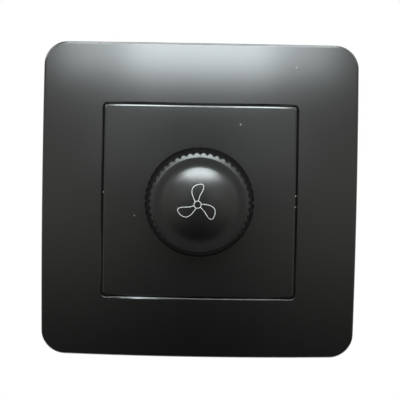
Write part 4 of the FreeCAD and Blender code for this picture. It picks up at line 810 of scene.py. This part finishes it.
def cut_rim_finely(shell):
    """Halves the long edges on the rim's round, again and again, and lays their corners on the round."""
    for _ in range(RIM_PASSES):
        rim = {corner for corner in shell.verts if on_rim(on_plate(corner.co))}
        long_edges = [
            edge for edge in shell.edges
            if edge.calc_length() > RIM_STEP * MM and rim.issuperset(edge.verts)
        ]
        if not long_edges:
            break
        bmesh.ops.subdivide_edges(shell, edges=long_edges, cuts=1)
        bmesh.ops.triangulate(shell, faces=shell.faces)
        for corner in shell.verts:
            spot = on_plate(corner.co)
            if on_rim(spot):
                middle = rim_middle(spot)[0]
                corner.co = off_plate(middle + (spot - middle).normalized() * RIM_ROUND) * MM
    bmesh.ops.dissolve_degenerate(shell, edges=shell.edges, dist=JOIN_REACH)
    bmesh.ops.triangulate(shell, faces=shell.faces)


def eased_piece(name, shell, angle, material):
    """A piece made of a shell, shaded smooth across edges that turn by less than an angle."""
    for face in shell.faces:
        face.smooth = True
        face.material_index = 0
    for edge in shell.edges:
        edge.smooth = edge.calc_face_angle(math.pi) < angle
    mesh = bpy.data.meshes.new(name)
    shell.to_mesh(mesh)
    shell.free()
    if "custom_normal" in mesh.attributes:
        mesh.attributes.remove(mesh.attributes["custom_normal"])
    mesh.materials.append(material)
    piece = bpy.data.objects.new(name, mesh)
    bpy.context.scene.collection.objects.link(piece)
    return piece


def front_ways(spots):
    """The ways that a face's corners look on the pillow or on the rim's round, and none elsewhere."""
    ball = Vector((0.0, 0.0, PLATE_CROWN - PLATE_RADIUS))
    if all(abs((spot - ball).length - PLATE_RADIUS) < ON_SURFACE for spot in spots):
        return [(spot - ball).normalized() for spot in spots]
    if all(near_rim(spot) for spot in spots):
        ways = [spot - rim_middle(spot)[0] for spot in spots]
        if all(abs(way.length - RIM_ROUND) < ON_SURFACE for way in ways):
            return [way.normalized() for way in ways]
    return []


def aim_front(mesh):
    """Shades the pillow and the rim's round by their true form, so that reflections run on evenly."""
    ways = [Vector((0.0, 0.0, 0.0))] * len(mesh.loops)
    for face in mesh.polygons:
        spots = [on_plate(mesh.vertices[corner].co) for corner in face.vertices]
        for loop, way in zip(face.loop_indices, front_ways(spots)):
            ways[loop] = off_plate(way)
    mesh.normals_split_custom_set(ways)


settled_dust = settled_dust_group()
panel_black = leave_well_bare(satin_plastic("panel_black", SATIN_BLACK, SATIN_ROUGHNESS, PLATE_DUST))
finish(panel_black, "center_plate")
frame_black = satin_plastic("frame_black", SATIN_BLACK, SATIN_ROUGHNESS, PLATE_DUST)
frame_shell = joined_shell("outer_frame")
cut_rim_finely(frame_shell)
frame_moulding = eased_piece("frame_moulding", frame_shell, CRISP_TURN, frame_black)
aim_front(frame_moulding.data)
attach(frame_moulding, "base")
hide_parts("outer_frame")

# Knob: the round control that turns over the well in the panel, pressed on the flat of the shaft.
# It is moulded in the same black under the same lacquer, with fine teeth round its skirt for grip and
# a low dome on top; its triangles are joined first, so that the lacquer shades evenly over the dome.
KNOB_BLACK = (0.0030, 0.0030, 0.0029, 1.0)
KNOB_ROUGHNESS = 0.205
KNOB_DUST = 0.03
SOFT_TURN = math.radians(6)

knob_black = satin_plastic("knob_black", KNOB_BLACK, KNOB_ROUGHNESS, KNOB_DUST)
knob_moulding = eased_piece("knob_moulding", joined_shell("knob"), SOFT_TURN, knob_black)
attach(knob_moulding, "rotor")
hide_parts("knob")

# Fan sign: a thin white outline of three blades about a small hub, printed on the knob's dome.
# The ink lies as a low bead on the plastic and turns with the knob; the sizes here are in millimetres.
INK_WHITE = (0.65, 0.65, 0.64, 1.0)
INK_SHADE = (0.55, 0.55, 0.54, 1.0)
INK_ROUGHNESS = 0.5
INK_GRAIN = 2400.0
INK_THIN = (0.4, 0.75)
INK_RELIEF = 0.004
SIGN_MIDDLE = (-0.51, -0.13)
BLADE_COUNT = 3
BLADE_LINE = (
    (-0.66, 0.80),
    (-1.17, 1.95),
    (-1.55, 3.30),
    (-1.32, 4.45),
    (-0.62, 5.08),
    (0.45, 5.42),
    (1.30, 5.35),
    (1.58, 4.75),
    (1.28, 3.70),
    (0.62, 2.40),
    (0.20, 1.02),
)
HUB_RADIUS = 0.97
LINE_WIDTH = 0.17
LINE_SIDES = 8
BLADE_STEPS = 8
HUB_SIDES = 36
INK_THICKNESS = 0.03
INK_SINK = 0.006
DOME_EDGE = 9.5
DOME_RISE = 1.3


def printed_ink():
    """White screen printing ink, a little thinner in places."""
    material, shader = new_material("printed_ink", INK_WHITE, INK_ROUGHNESS)
    tree = material.node_tree
    grain = noise(tree, object_place(tree), INK_GRAIN, detail=3.0)
    tone = blend_colours(tree, ramp(tree, grain, *INK_THIN), INK_WHITE, INK_SHADE)
    tree.links.new(tone, shader.inputs["Base Color"])
    add_relief(tree, shader, grain, INK_RELIEF * MM)
    return material


def fan_sign_tree(material):
    """Copies of one blade's line round a hub, drawn as a flat bead of ink on a dome."""
    tree, given, result = new_geometry_tree(
        "fan_sign",
        {
            "Blades": "NodeSocketInt",
            "Hub radius": "NodeSocketFloat",
            "Line radius": "NodeSocketFloat",
            "Flatness": "NodeSocketFloat",
            "Across": "NodeSocketFloat",
            "Up": "NodeSocketFloat",
            "Dome radius": "NodeSocketFloat",
            "Dome top": "NodeSocketFloat",
        },
    )
    step = work_out(tree, "DIVIDE", 2 * math.pi, given["Blades"])
    blades = set_round(tree, given["Geometry"], given["Blades"], step)
    lines = add_node(tree, "GeometryNodeJoinGeometry")
    tree.links.new(round_line(tree, given["Hub radius"], HUB_SIDES), lines.inputs["Geometry"])
    tree.links.new(blades, lines.inputs["Geometry"])
    real = add_node(tree, "GeometryNodeRealizeInstances", {"Geometry": lines.outputs["Geometry"]})
    bead = add_node(
        tree,
        "GeometryNodeCurveToMesh",
        {
            "Curve": real.outputs["Geometry"],
            "Profile Curve": round_line(tree, given["Line radius"], LINE_SIDES),
            "Fill Caps": True,
        },
    )
    position = tree.nodes.new("GeometryNodeInputPosition").outputs["Position"]
    spot = add_node(tree, "ShaderNodeSeparateXYZ", {"Vector": position}).outputs
    across = work_out(tree, "ADD", spot["X"], given["Across"])
    up = work_out(tree, "ADD", spot["Y"], given["Up"])
    reach = work_out(tree, "ADD", work_out(tree, "POWER", across, 2.0), work_out(tree, "POWER", up, 2.0))
    chord = work_out(tree, "SUBTRACT", work_out(tree, "POWER", given["Dome radius"], 2.0), reach)
    fall = work_out(tree, "SUBTRACT", given["Dome radius"], work_out(tree, "SQRT", chord))
    level = work_out(tree, "SUBTRACT", given["Dome top"], fall)
    out = work_out(tree, "ADD", level, work_out(tree, "MULTIPLY", spot["Z"], given["Flatness"]))
    laid = add_node(
        tree,
        "GeometryNodeSetPosition",
        {"Geometry": bead.outputs["Mesh"], "Position": triple(tree, across, up, out)},
    )
    smooth = add_node(tree, "GeometryNodeSetShadeSmooth", {"Geometry": laid.outputs["Geometry"]})
    end_tree(tree, smooth.outputs["Geometry"], material, result)
    return tree


blade = bpy.data.curves.new("blade", "CURVE")
blade.dimensions = "3D"
blade.resolution_u = BLADE_STEPS
stroke = blade.splines.new("BEZIER")
stroke.bezier_points.add(len(BLADE_LINE) - 1)
for knot, (across, up) in zip(stroke.bezier_points, BLADE_LINE):
    knot.co = (across * MM, up * MM, 0.0)
    knot.handle_left_type = knot.handle_right_type = "AUTO"
knob_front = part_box("knob")[0][1]
dome_radius = (DOME_EDGE**2 + DOME_RISE**2) / (2 * DOME_RISE) * MM
fan_sign = shaped_by(
    "fan_sign",
    blade,
    fan_sign_tree(printed_ink()),
    {
        "Blades": BLADE_COUNT,
        "Hub radius": HUB_RADIUS * MM,
        "Line radius": LINE_WIDTH / 2 * MM,
        "Flatness": INK_THICKNESS / LINE_WIDTH,
        "Across": SIGN_MIDDLE[0] * MM,
        "Up": SIGN_MIDDLE[1] * MM,
        "Dome radius": dome_radius,
        "Dome top": -knob_front - INK_SINK * MM,
    },
    Matrix.Rotation(math.pi / 2, 4, "X"),
)
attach(fan_sign, "rotor")

# Dust flecks: a few crumbs of lint and plaster dust on the front and caught in the gap round the panel.
# They only lie on the surface, at the places where they fell; the sizes here are in millimetres.
FLECK_COLOUR = (0.56, 0.56, 0.54, 1.0)
FLECK_SHADE = (0.38, 0.38, 0.36, 1.0)
FLECKS = (
    (25.76, 36.79),
    (-17.52, -3.99),
    (10.75, 21.13),
    (-26.05, 2.20),
    (26.05, 1.87),
    (26.05, -1.12),
)
FLECK_ROUGHNESS = 0.9
LINT_CLOUDS = 9000.0
FLECK_SIZE = 0.20
FLECK_LEAST = (0.5, 0.4, 0.35)
FLECK_MOST = (1.2, 1.0, 0.7)
FLECK_TURN = (3.0, 3.0, 3.0)
FLECK_SEED = 7
CRUMB_CUTS = 2
PANEL_HALF = 26.0
WINDOW_HALF = 26.4
PANEL_PROUD = 0.15
GAP_DEPTH = 0.35


def lint():
    """Grey lint and dust."""
    material, shader = new_material("lint", FLECK_COLOUR, FLECK_ROUGHNESS)
    tree = material.node_tree
    cloud = noise(tree, object_place(tree), LINT_CLOUDS)
    tree.links.new(blend_colours(tree, cloud, FLECK_SHADE, FLECK_COLOUR), shader.inputs["Base Color"])
    return material


def fleck_tree(material):
    """A small uneven crumb on each point, every one turned and sized a little differently."""
    tree, given, result = new_geometry_tree(
        "dust_flecks", {"Size": "NodeSocketFloat", "Seed": "NodeSocketInt"}
    )
    crumb = add_node(
        tree, "GeometryNodeMeshIcoSphere", {"Radius": given["Size"], "Subdivisions": CRUMB_CUTS}
    )
    turn = add_node(
        tree,
        "FunctionNodeRandomValue",
        {"Max": FLECK_TURN, "Seed": given["Seed"]},
        data_type="FLOAT_VECTOR",
    )
    scale = add_node(
        tree,
        "FunctionNodeRandomValue",
        {"Min": FLECK_LEAST, "Max": FLECK_MOST, "Seed": given["Seed"]},
        data_type="FLOAT_VECTOR",
    )
    crumbs = add_node(
        tree,
        "GeometryNodeInstanceOnPoints",
        {
            "Points": given["Geometry"],
            "Instance": crumb.outputs["Mesh"],
            "Rotation": turn.outputs["Value"],
            "Scale": scale.outputs["Value"],
        },
    )
    end_tree(tree, crumbs.outputs["Instances"], material, result)
    return tree


def front_level(across, up):
    """How far the plate's front stands off the wall at a place, in millimetres."""
    reach = max(abs(across), abs(up))
    radius = PLATE_RADIUS + (PANEL_PROUD if reach <= PANEL_HALF else 0.0)
    level = PLATE_CROWN - PLATE_RADIUS + math.sqrt(radius**2 - across**2 - up**2)
    return level - (GAP_DEPTH if PANEL_HALF < reach < WINDOW_HALF else 0.0)


fleck_places = bpy.data.meshes.new("fleck_places")
fleck_places.from_pydata(
    [(across * MM, -front_level(across, up) * MM, up * MM) for across, up in FLECKS], [], []
)
dust_flecks = shaped_by(
    "dust_flecks", fleck_places, fleck_tree(lint()), {"Size": FLECK_SIZE * MM, "Seed": FLECK_SEED}
)
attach(dust_flecks, "base")

# Floor: a plain pale sheet well below the switch and behind it, which keeps the switch's shadow.
# It passes into the white of the backdrop at its edges, and past them there is only the backdrop.
FLOOR_PALE = (0.80, 0.80, 0.80, 1.0)
FLOOR_LEVEL = -0.45
FLOOR_MIDDLE = 0.55
FLOOR_HALF_WIDTH = 0.60
FLOOR_HALF_LENGTH = 0.55
FLOOR_FADE = (0.45, 0.92)
PAPER_ROUGHNESS = (0.85, 0.95)
PAPER_GRAIN = 300.0
WHITE = (1.0, 1.0, 1.0, 1.0)


def floor_finish():
    """Pale matt paper that turns to plain white towards its edges, looked at straight or in a mirror."""
    material, shader = new_material("floor_paper", FLOOR_PALE, PAPER_ROUGHNESS[0])
    tree = material.node_tree
    place = object_place(tree)
    fitted = add_node(
        tree,
        "ShaderNodeMapping",
        {
            "Vector": place,
            "Location": (0.0, -FLOOR_MIDDLE / FLOOR_HALF_LENGTH, 0.0),
            "Scale": (1.0 / FLOOR_HALF_WIDTH, 1.0 / FLOOR_HALF_LENGTH, 0.0),
        },
    )
    reach = add_node(tree, "ShaderNodeVectorMath", {0: fitted.outputs["Vector"]}, operation="LENGTH")
    fibres = noise(tree, place, PAPER_GRAIN, detail=3.0)
    tree.links.new(ramp(tree, fibres, *WIDE_CLOUD_RANGE, *PAPER_ROUGHNESS), shader.inputs["Roughness"])
    path = tree.nodes.new("ShaderNodeLightPath").outputs
    seen = work_out(tree, "ADD", path["Is Camera Ray"], path["Is Glossy Ray"])
    seen = work_out(tree, "ADD", seen, path["Is Transmission Ray"], clamp=True)
    glow = add_node(tree, "ShaderNodeEmission", {"Color": WHITE, "Strength": 1.0})
    share = work_out(tree, "MULTIPLY", seen, ramp(tree, reach.outputs["Value"], *FLOOR_FADE))
    mixed = add_node(tree, "ShaderNodeMixShader", {"Fac": share})
    tree.links.new(shader.outputs["BSDF"], mixed.inputs[1])
    tree.links.new(glow.outputs["Emission"], mixed.inputs[2])
    tree.links.new(mixed.outputs["Shader"], tree.nodes["Material Output"].inputs["Surface"])
    return material


floor_mesh = bpy.data.meshes.new("floor")
floor_front = FLOOR_MIDDLE - FLOOR_HALF_LENGTH
floor_back = FLOOR_MIDDLE + FLOOR_HALF_LENGTH
floor_mesh.from_pydata(
    [
        (-FLOOR_HALF_WIDTH, floor_front, FLOOR_LEVEL),
        (FLOOR_HALF_WIDTH, floor_front, FLOOR_LEVEL),
        (FLOOR_HALF_WIDTH, floor_back, FLOOR_LEVEL),
        (-FLOOR_HALF_WIDTH, floor_back, FLOOR_LEVEL),
    ],
    [],
    [(0, 1, 2, 3)],
)
floor_mesh.materials.append(floor_finish())
floor = bpy.data.objects.new("floor", floor_mesh)
bpy.context.scene.collection.objects.link(floor)

# Room: a white backdrop behind the switch and a dim room in front of it, darker towards the ground.
# Looked at straight, it is plain white all round.
BACKDROP_EDGE = (0.62, 0.74)
ROOM_LIGHT = (1.0, 0.99, 0.93, 1.0)
ROOM_HEIGHTS = (-0.55, 0.06)
ROOM_LEVELS = (0.046, 0.334)
ROOM_SIDES = (0.0, 0.40)
SIDE_LEVELS = (0.45, 1.2)


def raise_to_white(tree, level, share):
    """A level brought up by a share of what it lacks to white."""
    lack = work_out(tree, "SUBTRACT", 1.0, level)
    return work_out(tree, "ADD", level, work_out(tree, "MULTIPLY", share, lack))


def room_light():
    """The world's colour by direction for reflections and fill, and white for what looks straight at it."""
    room = bpy.data.worlds.new("room")
    room.use_nodes = True
    tree = room.node_tree
    direction = tree.nodes.new("ShaderNodeTexCoord").outputs["Generated"]
    way = add_node(tree, "ShaderNodeSeparateXYZ", {"Vector": direction}).outputs
    height = ramp(tree, way["Z"], *ROOM_HEIGHTS, *ROOM_LEVELS)
    sides = ramp(tree, work_out(tree, "ABSOLUTE", way["X"]), *ROOM_SIDES, *SIDE_LEVELS)
    strength = ramp(tree, way["Y"], *BACKDROP_EDGE)
    reflected = raise_to_white(tree, work_out(tree, "MULTIPLY", height, sides), strength)
    seen = tree.nodes.new("ShaderNodeLightPath").outputs["Is Camera Ray"]
    level = raise_to_white(tree, reflected, seen)
    background = tree.nodes["Background"]
    lit = work_out(tree, "MAXIMUM", seen, strength)
    tree.links.new(blend_colours(tree, lit, ROOM_LIGHT, WHITE), background.inputs["Color"])
    tree.links.new(level, background.inputs["Strength"])
    return room


bpy.context.scene.world = room_light()
bpy.context.scene.view_settings.view_transform = "Standard"

# Lamps: a wide soft window high in front, brightest in its middle, with two bright strips above it.
# Dim lamps stand low in front, at either side and behind; all have the cool light of an overcast sky.
LAMP_DISTANCE = 2.0
WINDOW_LIGHT = (0.89, 0.975, 1.0)


def soft_lamp(name, azimuth, elevation, width, height, radiance):
    """A soft lamp seen from the switch at these angles, in degrees; azimuth 0 is straight in front."""
    turn, rise = math.radians(azimuth), math.radians(elevation)
    away = Vector((math.sin(turn) * math.cos(rise), -math.cos(turn) * math.cos(rise), math.sin(rise)))
    lamp = bpy.data.lights.new(name, "AREA")
    lamp.shape = "RECTANGLE"
    lamp.size = 2 * LAMP_DISTANCE * math.tan(math.radians(width / 2))
    lamp.size_y = 2 * LAMP_DISTANCE * math.tan(math.radians(height / 2))
    lamp.color = WINDOW_LIGHT
    lamp.energy = math.pi * radiance * lamp.size * lamp.size_y
    holder = bpy.data.objects.new(name, lamp)
    holder.location = LAMP_DISTANCE * away
    holder.rotation_euler = away.to_track_quat("Z", "Y").to_euler()
    bpy.context.scene.collection.objects.link(holder)


soft_lamp("window_lamp", azimuth=0.25, elevation=29.6, width=24.0, height=20.8, radiance=9.5)
soft_lamp("window_lamp_left", azimuth=-19.0, elevation=29.6, width=14.5, height=20.8, radiance=4.6)
soft_lamp("window_lamp_right", azimuth=18.75, elevation=29.6, width=13.0, height=20.8, radiance=4.2)
soft_lamp("upper_lamp", azimuth=0.25, elevation=47.0, width=56.0, height=10.0, radiance=12.0)
soft_lamp("top_lamp", azimuth=0.25, elevation=82.0, width=40.0, height=16.0, radiance=13.0)
soft_lamp("low_lamp_left", azimuth=-12.5, elevation=6.5, width=13.0, height=9.0, radiance=0.25)
soft_lamp("low_lamp_right", azimuth=12.5, elevation=6.5, width=13.0, height=9.0, radiance=0.25)
soft_lamp("side_lamp_left", azimuth=-80.0, elevation=38.0, width=40.0, height=30.0, radiance=2.5)
soft_lamp("side_lamp_right", azimuth=80.0, elevation=38.0, width=40.0, height=30.0, radiance=1.5)
soft_lamp("rear_lamp", azimuth=160.0, elevation=42.0, width=60.0, height=40.0, radiance=1.6)

# Camera: half a metre in front of the plate and a little above it, tipped down to its middle.
# A long lens keeps the plate's sides nearly parallel.
CAMERA_PLACE = Vector((-0.00162, -0.5, 0.03201))
CAMERA_YAW = math.radians(0.207)
CAMERA_PITCH = math.radians(-3.673)
CAMERA_ROLL = math.radians(0.988)
CAMERA_LENS = 163.36

ahead = Vector(
    (
        math.sin(CAMERA_YAW) * math.cos(CAMERA_PITCH),
        math.cos(CAMERA_YAW) * math.cos(CAMERA_PITCH),
        math.sin(CAMERA_PITCH),
    )
)
level_right = ahead.cross(Vector((0.0, 0.0, 1.0))).normalized()
level_up = level_right.cross(ahead)
right = level_right * math.cos(CAMERA_ROLL) + level_up * math.sin(CAMERA_ROLL)
upward = level_up * math.cos(CAMERA_ROLL) - level_right * math.sin(CAMERA_ROLL)
camera = bpy.data.objects.new("camera", bpy.data.cameras.new("camera"))
camera.location = CAMERA_PLACE
camera.rotation_euler = Matrix((right, upward, -ahead)).transposed().to_euler()
camera.data.lens = CAMERA_LENS
bpy.context.scene.collection.objects.link(camera)
bpy.context.scene.camera = camera
